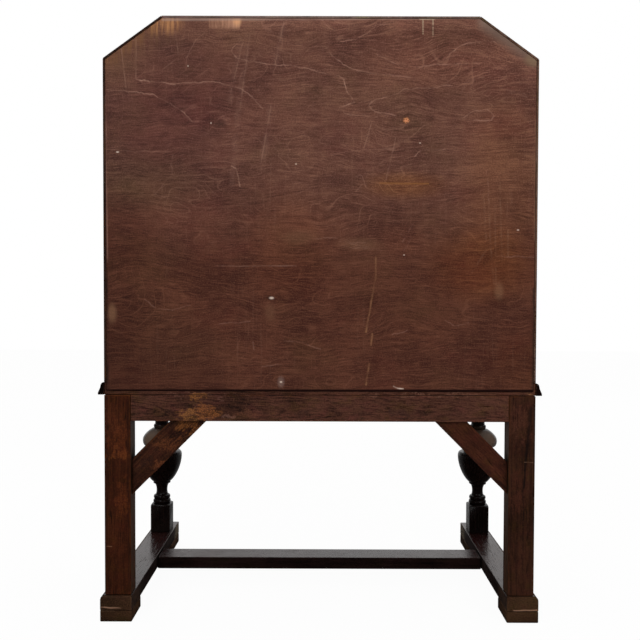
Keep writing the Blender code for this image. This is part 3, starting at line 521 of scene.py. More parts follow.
# Left and right are those of the picture here, so the left marks are on the sitter's right leg.
left_marks = worn_spots(
    (118, 455, 24, 10, (106, 56, 24), 0.6), (118, 440, 18, 34, (88, 42, 20), 0.6),
    (122, 500, 14, 34, (92, 44, 20), 0.6), (112, 420, 16, 24, (84, 42, 22), 0.5),
    (116, 545, 12, 24, (76, 36, 18), 0.4),
)
right_marks = worn_spots((520, 425, 18, 34, (82, 46, 34), 0.55), (518, 490, 14, 40, (74, 38, 26), 0.5))
left_veins = rear_veins(
    ((105, 546), (112, 546), 0.0012, (120, 84, 62), 0.8),
    ((128, 400), (129, 590), 0.0040, (28, 13, 8), 0.45),
    ((106, 398), (106, 592), 0.0050, (30, 14, 8), 0.45),
)
right_veins = rear_veins(
    ((530, 408), (527, 445), 0.0050, (24, 13, 10), 0.65),
    ((527, 445), (524, 470), 0.0042, (20, 11, 8), 0.80),
    ((524, 470), (523, 492), 0.0030, (20, 11, 8), 0.80),
    ((523, 492), (523, 520), 0.0020, (20, 11, 8), 0.5),
    ((534, 398), (534, 592), 0.0030, (22, 12, 9), 0.6),
    ((524, 462), (533, 463), 0.0010, (110, 82, 66), 0.6),
)
apron_marks = worn_spots(
    (188, 416, 20, 12, (132, 86, 46), 0.70), (206, 413, 20, 14, (130, 78, 42), 0.72),
    (198, 398, 15, 7, (132, 84, 42), 0.80), (228, 415, 14, 4, (120, 88, 78), 0.5),
    (250, 414, 40, 5, (100, 62, 44), 0.5), (430, 394.8, 110, 1.8, (120, 84, 68), 0.5),
    (200, 394.6, 90, 1.6, (104, 70, 60), 0.5), (529, 395, 8, 3, (150, 106, 72), 0.7),
    (400, 411, 22, 7, (46, 30, 26), 0.6), (300, 412, 14, 8, (50, 32, 26), 0.6),
)
brace_marks = worn_spots(
    (188, 428, 26, 18, (118, 70, 34), 0.75), (166, 444, 22, 16, (98, 54, 30), 0.6),
    (158, 466, 18, 8, (106, 58, 34), 0.7), (146, 462, 10, 10, (34, 18, 15), 0.7),
)
foot_seams = [
    ((0.388, 0.230, 0.0258), (0.352, 0.230, 0.0250), 0.0020, seam_rub, 0.55),
    ((-0.345, 0.230, 0.0238), (-0.388, 0.230, 0.0246), 0.0020, seam_rub, 0.55),
]
# Paler ends on the runner sides: dust, and at the front a painted reflection of the pale floor.
dust_and_reflection_ends = [((sign * 0.334, 0.215, 0.034), (0.02, 0.09, 0.04), (60, 43, 33), 0.9) for sign in (-1, 1)]
dust_and_reflection_ends += [((sign * 0.334, -0.215, 0.034), (0.02, 0.07, 0.05), (98, 88, 72), 1.0) for sign in (-1, 1)]
# A pale band round the top of each cover: dust, and a painted sheen of the light from above.
dust_and_sheen_on_covers = [
    ((sign * 0.376, -0.138, 0.262), (sign * 0.343, -0.138, 0.262), 0.034, (104, 84, 70), 0.75) for sign in (-1, 1)
]
print("marks on the stand:", len(left_marks + right_marks + apron_marks + brace_marks))

# %% Oaks of the stand
BRACE_LEAN = math.radians(45)
LEG_PITH = (0.30, 0.30, 0)
RUNNER_PITH = (0.22, 0, 0.12)
STRETCHER_PITH = (0, 0.08, 0.10)
oak_rear_right = make_oak(
    "rear_leg_right_oak", GRAIN_Z, LEG_PITH, dry_red, 0.04, 0.50, 0.009, marks=left_marks, veins=left_veins
)
oak_rear_left = make_oak(
    "rear_leg_left_oak", GRAIN_Z, (-0.44, 0.27, 0), dry_red_deep, 0.04, 0.52, 0.010, wear=0.35,
    marks=right_marks, veins=right_veins,
)
oak_rear_apron = make_oak(
    "rear_apron_oak", (0, 0.012, 0.055), (0, 0.262, 0.375), dry_brown, 0.04, 0.56, 0.0030, wear=0.35,
    marks=apron_marks,
)
oak_brace_right = make_oak(
    "rear_brace_right_oak", (0, -BRACE_LEAN, 0), (0.27, 0.25, 0.31), brace_red, 0.04, 0.55, wear=0.45,
    marks=brace_marks,
)
oak_brace_left = make_oak(
    "rear_brace_left_oak", (0, BRACE_LEAN, 0), (-0.27, 0.26, 0.33), brace_redder, 0.04, 0.55, wear=0.35
)
oak_foot = make_oak(
    "foot_oak", GRAIN_Y, (0, 0, -1.5), foot_brown, 0.04, 0.6, 0.003, worn=(110, 86, 66), veins=foot_seams
)
oak_rear_inside = make_oak("rear_leg_inside_oak", GRAIN_Z, LEG_PITH, dry_tan, 0.02, 0.55, wear=0.3)
oak_runner = make_oak("runner_oak", GRAIN_Y, RUNNER_PITH, rubbed_black, 0.28, 0.20, wear=0.3, worn=black_rub)
oak_stretcher = make_oak(
    "stretcher_oak", GRAIN_X, STRETCHER_PITH, rubbed_black, 0.28, 0.26, wear=0.3, worn=black_rub
)
for polished_top in (oak_runner, oak_stretcher):
    polished_top.node_tree.nodes["Principled BSDF"].inputs["Specular Tint"].default_value = (1.0, 0.84, 0.80, 1)
oak_stretcher_side = make_oak(
    "stretcher_side_oak", GRAIN_X, STRETCHER_PITH, stretcher_black, 0.02, 0.5, wear=0.4, worn=(58, 38, 32)
)
oak_dull_side = make_oak(
    "dull_side_oak", GRAIN_Y, RUNNER_PITH, dusty_black, 0.02, 0.48, wear=0.25, worn=(60, 42, 34), marks=dust_and_reflection_ends
)
oak_dull_across = make_oak(
    "dull_across_oak", GRAIN_X, STRETCHER_PITH, deep_black, 0.02, 0.48, wear=0.25, worn=(52, 32, 24)
)
oak_turned = make_oak(
    "turned_leg_oak", GRAIN_Z, (0.30, -0.10, 0), turned_black, 0.12, 0.19, wear=0.2, worn=(64, 38, 26),
    veins=dust_and_sheen_on_covers,
)
oak_stand_hidden = make_oak(
    "side_apron_oak", GRAIN_Y, (0.30, 0, 0.30), rubbed_black, 0.2, 0.35, wear=0.3, worn=(74, 44, 28)
)
print("oaks of the stand:", sum(m.name.endswith("_oak") for m in bpy.data.materials))

# %% [markdown]
# ## The oaks of the case
#
# The outside of the case is polished brown oak. The writing bed and the pigeonholes have less polish, and
# the drawers are lined with a plain pale wood. All come from the same recipe, so they belong together.

# %% Oaks of the case and the drawer wood
polished = (34, 17, 10), (60, 32, 18), (86, 50, 29)
inside = (44, 24, 14), (74, 43, 26), (98, 62, 38)
lining = (118, 88, 58), (150, 118, 82), (172, 141, 102)
edge_dark = (22, 12, 9), (42, 26, 20), (62, 43, 35)
edge_rubbed = (70, 50, 40), (98, 73, 60), (124, 98, 84)
edge_dusty = (84, 68, 61), (114, 95, 87), (142, 121, 112)
edge_rub = (112, 68, 38)
lining_rub = (190, 160, 120)
dark_foot = worn_spots((536, 350, 20, 110, (34, 24, 19), 1.0))
oak_side = make_oak("case_side_oak", GRAIN_Z, (0.30, 0.10, 0), polished, 0.20, 0.30, 0.008, edge_rub)
oak_across = make_oak("case_across_oak", GRAIN_X, (0, -0.12, 1.16), polished, 0.20, 0.30, 0.008, edge_rub)
oak_edge_right = make_oak("case_edge_right_oak", GRAIN_Z, (0.30, 0.10, 0), edge_dark, 0.02, 0.5, wear=0.3)
oak_edge_left = make_oak(
    "case_edge_left_oak", GRAIN_Z, (-0.30, 0.10, 0), edge_rubbed, 0.02, 0.5, wear=0.3, marks=dark_foot
)
oak_edge_top = make_oak("top_edge_oak", GRAIN_X, (0, 0.10, 1.16), edge_dusty, 0.02, 0.5, wear=0.3)
oak_fall = make_oak("fall_oak", GRAIN_X, (0, 0.02, 0.93), polished, 0.20, 0.28, 0.009, edge_rub)
oak_drawer = make_oak("drawer_front_oak", GRAIN_X, (0, -0.11, 0.60), polished, 0.20, 0.28, 0.008, edge_rub)
oak_deep = make_oak("case_depth_oak", GRAIN_Y, (0.46, 0, 0.30), polished, 0.20, 0.32, worn=edge_rub)
oak_inside = make_oak("inside_oak", GRAIN_X, (0, 0.05, 0.62), inside, 0.16, 0.42, 0.009, edge_rub)
oak_partition = make_oak("inside_upright_oak", GRAIN_Y, (0.05, 0, 0.50), inside, 0.16, 0.44, worn=edge_rub)
oak_back_inside = make_oak("back_inside_wood", GRAIN_X, (0, 0.02, 0.62), inside, 0.08, 0.55, 0.012, edge_rub)
bare = {"tones": lining, "gloss": 0.1, "dull": 0.6, "worn": lining_rub, "wear": 0.3}
lining_across = make_oak("lining_across_wood", GRAIN_X, (0, 0.05, 0.30), **bare)
lining_deep = make_oak("lining_deep_wood", GRAIN_Y, (0.20, 0, 0.30), **bare)
print("woods in all:", sum(m.name.endswith(("_oak", "_wood")) for m in bpy.data.materials))

# %% [markdown]
# ## The veneer of the back
#
# The back is plywood whose face was peeled off a log like paper from a roll. That gives fine level
# streaks, wandering pale contour lines and eyes where branches stood. Rings cut through, as in the oak,
# would look wrong here. So the streaks are stretched noise, and the contours are level lines of a smooth
# noise, which close into rings. Round each knot the grain spreads: its height is held back there.

# %% Group: peeled veneer
KNOT_SPREADS = [
    ((406, 120), 0.060), ((217, 124), 0.070), ((271, 298), 0.045), ((455, 60), 0.09), ((150, 300), 0.11),
    ((300, 34), 0.06), ((400, 42), 0.07), ((408, 337), 0.06), ((325, 212), 0.07),
]
veneer_group, came, leaves = new_group(
    "peeled veneer", ["Place"], [], ["Streaks", "Fine", "Contours", "Clouds", "Hue", "Scuffs"]
)
flat = came["Place"] * (1, 0, 1)
grain = flat + shake(flat, (3, 1, 5), 3.0, 0.5) * (0.05, 0, 0.065)
grain = grain + shake(flat, (9, 1, 15), 2.0, 0.5) * (0, 0, 0.020)
grain = grain + shake(flat, (24, 1, 44), 2.0, 0.5) * (0, 0, 0.0050)
for pixel, reach in KNOT_SPREADS:
    knot = on_back(*pixel)
    off = grain - (knot.x, 0, knot.z)
    near = ease(measure("LENGTH", off * (0.6, 0, 1)), reach, 0.0, 0.0, -0.75)
    grain = grain + off * near * (0, 0, 1)
feed(leaves["Streaks"], speckle(grain, (10, 1, 250), 4.0, 0.6))
feed(leaves["Fine"], speckle(grain, (40, 1, 720), 3.0, 0.65))
hills = axis(grain, "Z") * 42.0 + speckle(grain, (3.2, 1, 6.0), 3.0, 0.5) * 26.0
ridge = calc("ABSOLUTE", calc("FRACT", hills) - 0.5)
shown = speckle(flat + (5.3, 0, 2.9), (7, 1, 10), 3.0, 0.6)
feed(leaves["Contours"], ease(ridge, 0.09, 0.0) * ease(shown, 0.44, 0.66))
feed(leaves["Clouds"], speckle(flat, (9, 1, 12), 5.0, 0.6))
feed(leaves["Hue"], speckle(flat + (1.9, 0, 7.1), (6, 1, 9), 4.0, 0.6))
upright = speckle(flat, (190, 1, 9), 3.0, 0.6)
where = speckle(flat + (3.1, 0, 1.7), (7, 1, 5), 2.0, 0.5)
feed(leaves["Scuffs"], ease(upright, 0.52, 0.75) * ease(where, 0.45, 0.7))
count_nodes(tree.name)

# %% [markdown]
# ## The marks on the back
#
# A buyer would know this back by its marks: pale contour lines above, long upright scratches, a knot that
# shows orange, stain rubbed off along one canted corner, the ghost of old tape and chips along the
# bottom. Noise alone would put them anywhere, so each is in a short list of places that were read off.

# %% Where the marks are
PALE_LINES = [
    [(240, 42), (231, 51), (237, 59), (262, 63), (288, 65), (310, 70), (328, 74)],
    [(137, 79), (165, 83), (185, 83), (215, 82), (231, 86), (243, 90), (253, 98), (263, 109)],
    [(107, 90), (140, 92), (153, 94), (163, 100), (185, 114), (192, 121)],
    [(328, 74), (338, 76), (344, 80), (347, 92), (354, 102), (340, 108), (345, 114), (377, 117)],
    [(329, 53), (343, 64), (353, 69), (370, 73), (390, 76), (421, 78)],
    [(376, 54), (392, 62), (403, 66), (415, 67), (450, 64), (480, 64)],
    [(452, 85), (435, 87), (404, 89), (392, 95), (375, 100), (369, 105), (376, 112), (395, 115)],
    [(341, 42), (355, 39), (367, 33), (376, 24), (390, 23)],
    [(446, 58), (455, 49), (465, 44), (487, 41), (495, 43)],
    [(461, 119), (475, 111), (487, 109), (494, 115), (490, 120), (475, 121), (461, 119)],
    [(415, 156), (419, 152), (428, 150), (445, 149)],
]
BRIGHT_BITS = [
    [(140, 80), (153, 81), (175, 84)], [(344, 80), (347, 92), (354, 102), (342, 107)],
    [(447, 57), (451, 52), (456, 49)], [(231, 166), (237, 169), (240, 187)], [(372, 101), (369, 105), (372, 109)],
]
FAINT_LINES = [
    [(105, 149), (128, 151), (170, 152)], [(174, 155), (171, 165), (172, 175), (154, 194), (167, 197)],
    [(177, 59), (165, 67), (159, 75)], [(217, 325), (230, 322), (250, 322)], [(284, 341), (303, 342), (320, 349)],
    [(262, 366), (282, 364)], [(445, 321), (455, 326), (468, 322)], [(330, 155), (362, 150), (395, 149)],
    [(315, 239), (337, 237)], [(339, 241), (365, 246), (380, 249)], [(341, 245), (352, 247), (378, 250)],
    [(145, 300), (156, 309), (172, 310), (190, 305)], [(392, 335), (407, 331)], [(407, 125), (360, 136)],
    [(462, 92), (465, 84), (471, 79)], [(470, 90), (474, 80), (484, 77)], [(352, 178), (362, 176), (366, 186)],
    [(356, 191), (362, 184)], [(486, 170), (489, 200)], [(497, 256), (534, 257)],
    [(341, 238), (350, 242), (366, 242)], [(355, 248), (372, 247), (382, 250)],
    [(402, 242), (408, 233), (413, 225)], [(401, 234), (411, 238), (404, 250)], [(186, 58), (196, 40), (205, 32)],
]
SCRATCHES = [
    [(284, 22), (275, 64)], [(250, 34), (240, 110)], [(243, 42), (231, 92)], [(271, 106), (261, 162)],
    [(372, 121), (364, 148)], [(396, 138), (386, 180)], [(216, 266), (296, 266)], [(121, 45), (126, 89)],
    [(136, 31), (136, 79)], [(176, 34), (179, 62)], [(501, 89), (526, 94)], [(505, 92), (527, 97)],
    [(253, 342), (254, 350)],
]
TAN_SCRATCHES = [
    [(376, 256), (376, 276), (372, 298), (366, 332)], [(372, 334), (371, 345)], [(369, 364), (366, 385)],
]
HAZE = [
    [(248, 36), (236, 130)], [(240, 40), (230, 100)], [(270, 108), (262, 168)], [(236, 130), (232, 185)],
    [(284, 24), (276, 62)],
]
SIDE_RUBS = [
    [(489, 200), (490, 240), (494, 284)], [(495, 206), (496, 284)], [(487, 248), (472, 273)],
    [(500, 182), (502, 262)], [(508, 230), (508, 256)], [(484, 196), (486, 240)],
]
CHIPS = [
    (117.5, 152, 2.2, 1.1), (296, 164, 1.3, 0.9), (188, 66, 0.9, 1.1), (518, 230, 1.8, 0.9),
    (271.5, 298, 3.4, 1.9), (404, 255, 1.2, 0.8), (211, 123, 0.8, 1.3), (420, 143, 1.4, 0.8),
    (281, 382, 1.8, 1.3),
]
EDGE_CHIPS = [
    [(394, 386.5), (397, 388), (403, 388.8)],
]
lists = PALE_LINES, FAINT_LINES, SCRATCHES, TAN_SCRATCHES, CHIPS
print("marks on the back:", sum(map(len, lists)))

# %% [markdown]
# ## The finish of the back
#
# The colours go on in the order they came in life, because later wear covers earlier: the stained veneer
# with its figure, the cloudy tones of age, rubbed stain and scuffs, and the scratches last. Low down the
# sheet is darkened, a painted shade as under light from above. The sheet is dry, so its gloss is low, and
# its roughness follows the clouds.

# %% Stained veneer
veneer, shader, place = new_finish("back_veneer")
flat = place * (1, 0, 1)
height = axis(flat, "Z")
figure = use(veneer_group, Place=place)
grit = speckle(flat, (440, 1, 440), 2.0, 0.6)
mottle = speckle(flat, (55, 1, 48), 4.0, 0.65)
wood = tint(ease(figure["Clouds"], 0.30, 0.70), (73, 42, 35), (107, 70, 56))
for source, *steps in (
    (figure["Hue"], (0.50, 0.72, 0.60, (92, 66, 47)), (0.50, 0.30, 0.55, (96, 52, 45))),
    (figure["Streaks"], (0.50, 0.70, 0.50, (122, 84, 68)), (0.50, 0.30, 0.60, (66, 38, 31))),
    (figure["Fine"], (0.50, 0.70, 0.58, (134, 94, 78)), (0.50, 0.30, 0.62, (56, 32, 26))),
    (grit, (0.50, 0.70, 0.34, (138, 98, 82)), (0.50, 0.30, 0.36, (54, 30, 25))),
    (mottle, (0.50, 0.70, 0.22, (120, 84, 66)), (0.50, 0.30, 0.26, (66, 38, 31))),
):
    wood = layers(wood, source, *steps)
wood = tint(figure["Contours"] * 0.36, wood, (142, 102, 84))


def flat_spot(across, down, wide, high):
    """A soft oval on the back, placed and sized by pixels of the picture."""
    centre = on_back(across, down)
    size = (wide * PIXEL, 1, high * PIXEL)
    return use(spot_group, Place=flat, Centre=(centre.x, 0, centre.z), Size=size)["Mask"]


# Painted shade: the sheet darkens towards the bottom, as under light from above.
wood = tint(ease(height, 0.84, 0.60), wood, (0.675, 0.545, 0.465, 1), "MULTIPLY")
for *area, tone, amount in (
    (185, 120, 130, 100, (0.90, 0.86, 0.90), 0.9), (150, 125, 95, 60, (0.84, 0.74, 0.80), 0.9),
    (140, 180, 95, 45, (0.80, 0.88, 0.80), 0.8), (150, 345, 110, 80, (0.82, 0.86, 0.82), 0.8),
    (195, 78, 100, 48, (0.82, 0.74, 0.78), 0.8), (120, 235, 60, 60, (0.72, 0.60, 0.58), 0.8),
    (115, 330, 50, 90, (0.82, 0.76, 0.76), 0.8), (160, 385, 110, 40, (0.80, 0.76, 0.76), 0.8),
    (262, 205, 60, 30, (0.84, 0.82, 0.82), 0.7), (200, 270, 70, 30, (0.88, 0.84, 0.82), 0.6),
    (520, 365, 50, 50, (0.86, 0.80, 0.70), 0.8), (440, 60, 130, 50, (1.10, 1.06, 1.04), 0.9),
    (515, 62, 50, 34, (1.30, 1.34, 1.34), 0.9), (402, 240, 34, 20, (1.28, 1.26, 1.20), 0.9),
    (505, 190, 60, 130, (1.14, 1.08, 0.88), 0.8), (480, 265, 70, 50, (1.24, 1.16, 0.84), 0.9),
    (290, 250, 60, 70, (1.12, 1.02, 0.92), 0.8), (405, 185, 55, 18, (1.20, 1.12, 0.78), 0.9),
    (270, 120, 60, 60, (1.06, 1.04, 1.04), 0.8),
):
    wood = tint(flat_spot(*area) * amount, wood, (*tone, 1), "MULTIPLY")
wood = tint(figure["Scuffs"] * 0.22, wood, (136, 98, 80))
count_nodes("veneer before its marks")

# %% Rubbed stain, tape ghost and grey corner
RUBBED_TAN = (124, 90, 66)
RUBBED_GREY = (150, 128, 120)
TAPE_RIM = 0.002
TAPE_FOOT = 0.005
stripes = speckle(flat, (230, 1, 16), 4.0, 0.65)


def rubbed(wood, mask, tone, amount, grip=0.9):
    """Lays a tone where the stain has gone, broken up into upright stripes."""
    return tint(mask * ease(stripes, 0.36, 0.64, 1.0 - grip, 1.0) * amount, wood, tone)


def flat_line(place, start, end, width):
    """A thin line on the back between two pixels of the picture."""
    start, end = ((spot.x, 0, spot.z) for spot in (on_back(*start), on_back(*end)))
    return use(scratch_group, Place=place, Start=start, End=end, Width=width * PIXEL)["Mask"]


for start, end, width, tone, amount in (
    ((102, 60), (160, 19), 32, (98, 68, 47), 0.60),
    ((158, 22), (170, 21), 17, (182, 128, 84), 0.80),
    ((108, 58), (150, 28), 12, (122, 82, 48), 0.40),
):
    wood = rubbed(wood, flat_line(flat, start, end, width), tone, amount)
corner, other = on_back(209.5, 29), on_back(240.5, 29)
sideways = axis(flat, "X")
patch = ease(sideways, other.x, other.x + TAPE_RIM) * ease(sideways, corner.x + TAPE_RIM, corner.x)
patch = patch * ease(height, corner.z - TAPE_RIM, corner.z + TAPE_FOOT)
wood = rubbed(wood, patch, (160, 116, 92), 0.80, 0.75)
wood = tint(flat_spot(237, 20, 6, 9) * 0.65, wood, (190, 138, 98))
wood = tint(flat_line(flat, (488, 22), (537, 57), 15) * 0.80, wood, (108, 89, 78))
wood = tint(flat_spot(533, 60, 12, 9) * 0.5, wood, (128, 104, 78))
for tape_line in (((423, 20), (423, 34), 0.9), ((433, 18), (433, 36), 0.9), ((420, 19), (434, 19), 1.4)):
    ghost = flat_line(flat, *tape_line) * ease(figure["Fine"], 0.35, 0.6)
    wood = tint(ghost * 0.55, wood, (190, 168, 140))
for *spot, amount, tone in (
    (112, 313, 7, 14, 0.50, RUBBED_TAN), (499, 291, 7, 13, 0.36, RUBBED_TAN), (270, 312, 8, 12, 0.18, RUBBED_TAN),
    (281, 382, 5, 8, 0.26, RUBBED_GREY), (360, 244, 30, 9, 0.24, RUBBED_TAN), (300, 237, 30, 10, 0.18, RUBBED_TAN),
):
    wood = tint(flat_spot(*spot) * amount, wood, tone)
wood = tint(flat_line(flat, (230, 18), (490, 17), 17) * 0.9, wood, (1.42, 1.48, 1.50, 1), "MULTIPLY")
patchy = ease(figure["Clouds"], 0.35, 0.60, 0.25, 1.0)
# Along the rim of the sheet: pale lines where it is rubbed, and dark lines down its sides, painted shade in the
# gap beside the case sides.
for *rim_rub_and_shade, tone, amount in (
    ((163, 19.5), (492, 17.5), 2.4, (156, 130, 118), 0.60),
    ((105.3, 95), (107.4, 262), 1.2, (138, 102, 90), 0.50),
    ((104.6, 150), (106.0, 260), 1.6, (40, 22, 16), 0.80),
    ((106.0, 260), (107.3, 388), 2.8, (34, 19, 14), 0.95),
    ((535.0, 290), (533.8, 388), 4.0, (38, 26, 20), 0.80),
    ((536.5, 120), (535.2, 240), 2.0, (124, 92, 72), 0.60),
):
    wood = tint(flat_line(flat, *rim_rub_and_shade) * patchy * amount, wood, tone)
count_nodes("veneer with its rubbed places")

# %% Lines, scratches, knots and chips
BARE_WOOD = (205, 182, 166)
wander = shake(flat, (26, 1, 26), 4.0, 0.6)
straight = flat + wander * (0.003, 0, 0.003)
wavy = flat + wander * (0.010, 0, 0.010) + shake(flat, (110, 1, 110), 3.0, 0.6) * (0.005, 0, 0.005)
fading = speckle(flat, (34, 1, 34), 4.0, 0.65)


def lines(wood, paths, course, width, tone, amount):
    """Lays all paths of one kind, fading in and out along the way."""
    mask = 0.0
    for path in paths:
        for start, end in zip(path, path[1:]):
            mask = calc("MAXIMUM", flat_line(course, start, end, width), mask)
    return tint(mask * ease(fading, 0.38, 0.62, 0.10, 1.0) * amount, wood, tone)


for kind in (
    (HAZE, straight, 5.0, (140, 104, 90), 0.15),
    (SIDE_RUBS, straight, 1.5, (140, 104, 80), 0.18),
    (FAINT_LINES, wavy, 0.95, (150, 110, 94), 0.26),
    (PALE_LINES, wavy, 0.90, (158, 118, 102), 0.46),
    (BRIGHT_BITS, wavy, 1.00, (176, 136, 116), 0.40),
    (SCRATCHES, straight, 1.0, (140, 104, 88), 0.42),
    (TAN_SCRATCHES, straight, 1.5, (138, 96, 66), 0.62),
):
    wood = lines(wood, *kind)
wood = tint(flat_line(straight, (380, 183), (428, 184), 1.4) * 0.35, wood, (150, 98, 50))
wood = tint(flat_spot(219, 124, 11, 5) * 0.40, wood, (50, 34, 28))
wood = tint(flat_spot(406, 120, 5.2, 4.8), wood, (40, 20, 12))
crumbs = ease(speckle(flat, (640, 1, 640), 2.0, 0.6), 0.36, 0.54)
wood = tint(flat_spot(406.3, 120.3, 4.4, 4.0) * crumbs, wood, (214, 140, 96))
wood = tint(flat_spot(270.5, 298, 5.0, 3.2) * 0.8, wood, (40, 22, 16))
chips = 0.0
for chip in CHIPS:
    chips = calc("MAXIMUM", flat_spot(*chip), chips)
wood = tint(chips * 0.80, wood, BARE_WOOD)
wood = lines(wood, EDGE_CHIPS, straight, 1.1, BARE_WOOD, 0.95)
# A dark line along the bottom edge of the sheet: painted shadow under its edge.
wood = tint(flat_line(flat, (100, 390.4), (540, 390.9), 2.2), wood, (24, 5, 3))
# Grime and painted shade in the corners of the sheet, stronger low down.
dirt_and_shade = use(grime_and_shade_group, Place=place)["Grime"]
wood = tint(dirt_and_shade * ease(height, 0.60, 0.95, 0.6, 0.12), wood, (20, 10, 8))
shader["Specular IOR Level"].default_value = 0.06
surface(shader, wood, ease(figure["Clouds"], 0.3, 0.7, 0.48, 0.62), figure["Fine"] + chips * -0.6, 0.25)
count_nodes("veneer with all its marks")

# %% [markdown]
# ## Aged brass
#
# The roses, drops, hinges and keyhole plates are brass that was polished long ago: brown in the hollows
# and brighter where fingers rub. Two metals could be mixed, but one metal with two tones is enough.

# %% Brass
brass, shader, place = new_finish("aged_brass_metal")
mottle = speckle(place, (140, 140, 140), 4.0, 0.6)
metal = tint(ease(mottle, 0.35, 0.7), (120, 88, 44), (176, 138, 76))
metal = tint(use(wear_group, Place=place)["Wear"] * 0.7, metal, (214, 178, 108))
metal = tint(use(grime_and_shade_group, Place=place)["Grime"] * 0.8, metal, (44, 32, 20))
shader["Metallic"].default_value = 1.0
surface(shader, metal, ease(mottle, 0.3, 0.7, 0.28, 0.46), mottle, 0.2, 0.0003)
count_nodes("brass")

# %% [markdown]
# ## Making boards
#
# A board starts as a cube at its size and place. Nothing made of wood has a knife-sharp edge, so a Bevel
# modifier eases every arris by about a millimetre. Boards with cuts, such as the sides with their sloping
# fronts, could be cut again, but copying them from the frame keeps every joint: the triangles are merged
# into one skin, the flat ones are dissolved into whole faces, and the edges are eased in the same way.

# %% Board helpers
EASED = 0.0012
FINE = 0.0010
THIN = 0.0006
SIDES = (("left", -1), ("right", 1))
REARWARD = Vector((0, 1, 0))
UPWARD = Vector((0, 0, 1))


def clear_selection():
    bpy.ops.object.select_all(action="DESELECT")


def work_on(piece):
    clear_selection()
    piece.select_set(True)
    bpy.context.view_layer.objects.active = piece


def keep_place():
    bpy.ops.object.transform_apply(location=True, rotation=True, scale=True)


def open_mesh(action="SELECT", kind="VERT"):
    bpy.ops.object.mode_set(mode="EDIT")
    bpy.ops.mesh.select_mode(type=kind)
    bpy.ops.mesh.select_all(action=action)


def close_mesh():
    bpy.ops.object.mode_set(mode="OBJECT")


def new_piece(name):
    """The shape that was just added, under its name."""
    piece = bpy.context.object
    piece.name = name
    piece.data.name = name
    return piece


def block(name, low, high):
    """A cube between two corners, with its place in its mesh."""
    clear_selection()
    low, high = Vector(low), Vector(high)
    bpy.ops.mesh.primitive_cube_add(size=1, location=(low + high) / 2)
    piece = new_piece(name)
    piece.scale = high - low
    keep_place()
    return piece


def frame_copy(name, node):
    """A copy of a piece of the frame, merged into one skin of whole faces."""
    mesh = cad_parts[node].data.copy()
    mesh.name = name
    mesh.materials.clear()
    piece = bpy.data.objects.new(name, mesh)
    bpy.context.scene.collection.objects.link(piece)
    work_on(piece)
    bpy.ops.mesh.customdata_custom_splitnormals_clear()
    open_mesh()
    bpy.ops.mesh.remove_doubles(threshold=0.00001)
    bpy.ops.mesh.dissolve_limited(angle_limit=math.radians(0.5))
    close_mesh()
    return piece


def ease_edges(piece, width=EASED, segments=3, angle=25):
    """Rounds every sharp edge a little."""
    work_on(piece)
    bpy.ops.object.shade_smooth()
    bevel = piece.modifiers.new("eased_edges", "BEVEL")
    bevel.width = width
    bevel.segments = segments
    bevel.limit_method = "ANGLE"
    bevel.angle_limit = math.radians(angle)
    bevel.harden_normals = True
    bevel.use_clamp_overlap = True
    bpy.ops.object.modifier_apply(modifier=bevel.name)
    return piece


def chamfer(piece, test, width):
    """Planes off the edges whose middle passes a test."""
    work_on(piece)
    open_mesh("DESELECT", "EDGE")
    skin = bmesh.from_edit_mesh(piece.data)
    for edge in skin.edges:
        edge.select_set(test((edge.verts[0].co + edge.verts[1].co) / 2))
    bmesh.update_edit_mesh(piece.data)
    bpy.ops.mesh.bevel(offset=width, segments=1)
    close_mesh()


print("board helpers ready")


# %% Dressing helpers
def dress(piece, finish, nodes=(), body="case_and_stand"):
    """Gives a piece its finish and its place in the assembly."""
    piece.data.materials.clear()
    piece.data.materials.append(finish)
    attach(piece, body)
    if nodes:
        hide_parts(*nodes)
    return piece


def board(node, finish, width=EASED, body="case_and_stand"):
    """A plain board: a cube in the place of a piece of the frame, with eased edges."""
    low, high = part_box(node)
    piece = block(f"{node}_board", low, high)
    return dress(ease_edges(piece, width), finish, [node], body)


def cut_board(node, finish, width=EASED, body="case_and_stand", slot="dark_oak", angle=25):
    """A board with cuts, copied from the frame, with eased edges."""
    piece = frame_copy(f"{node}_board", node)
    return dress(ease_edges(piece, width, angle=angle), finish, [node], body)


def stick(node, finish, along, start, end, width=EASED, word="rail"):
    """A stick of the stand: a cube that stops at its shoulders on one axis."""
    low, high = (Vector(corner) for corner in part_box(node))
    low[along], high[along] = start, end
    return dress(ease_edges(block(f"{node}_{word}", low, high), width), finish, [node])


def finish_side(piece, finish, direction, agree=0.75):
    """Gives the faces that look one way a finish of their own."""
    piece.data.materials.append(finish)
    for face in piece.data.polygons:
        if face.normal.dot(Vector(direction)) > agree:
            face.material_index = len(piece.data.materials) - 1


print("dressing helpers ready")

# %% [markdown]
# ## The stand
#
# The stand is a joined frame: square rear legs, aprons, runners on foot pads, a low stretcher and two
# braces. Tenons could be made too, but they are hidden, so each stick is a cube that stops at its
# shoulders. The arrises of the rear legs are rubbed, so these get a slightly wider bevel.

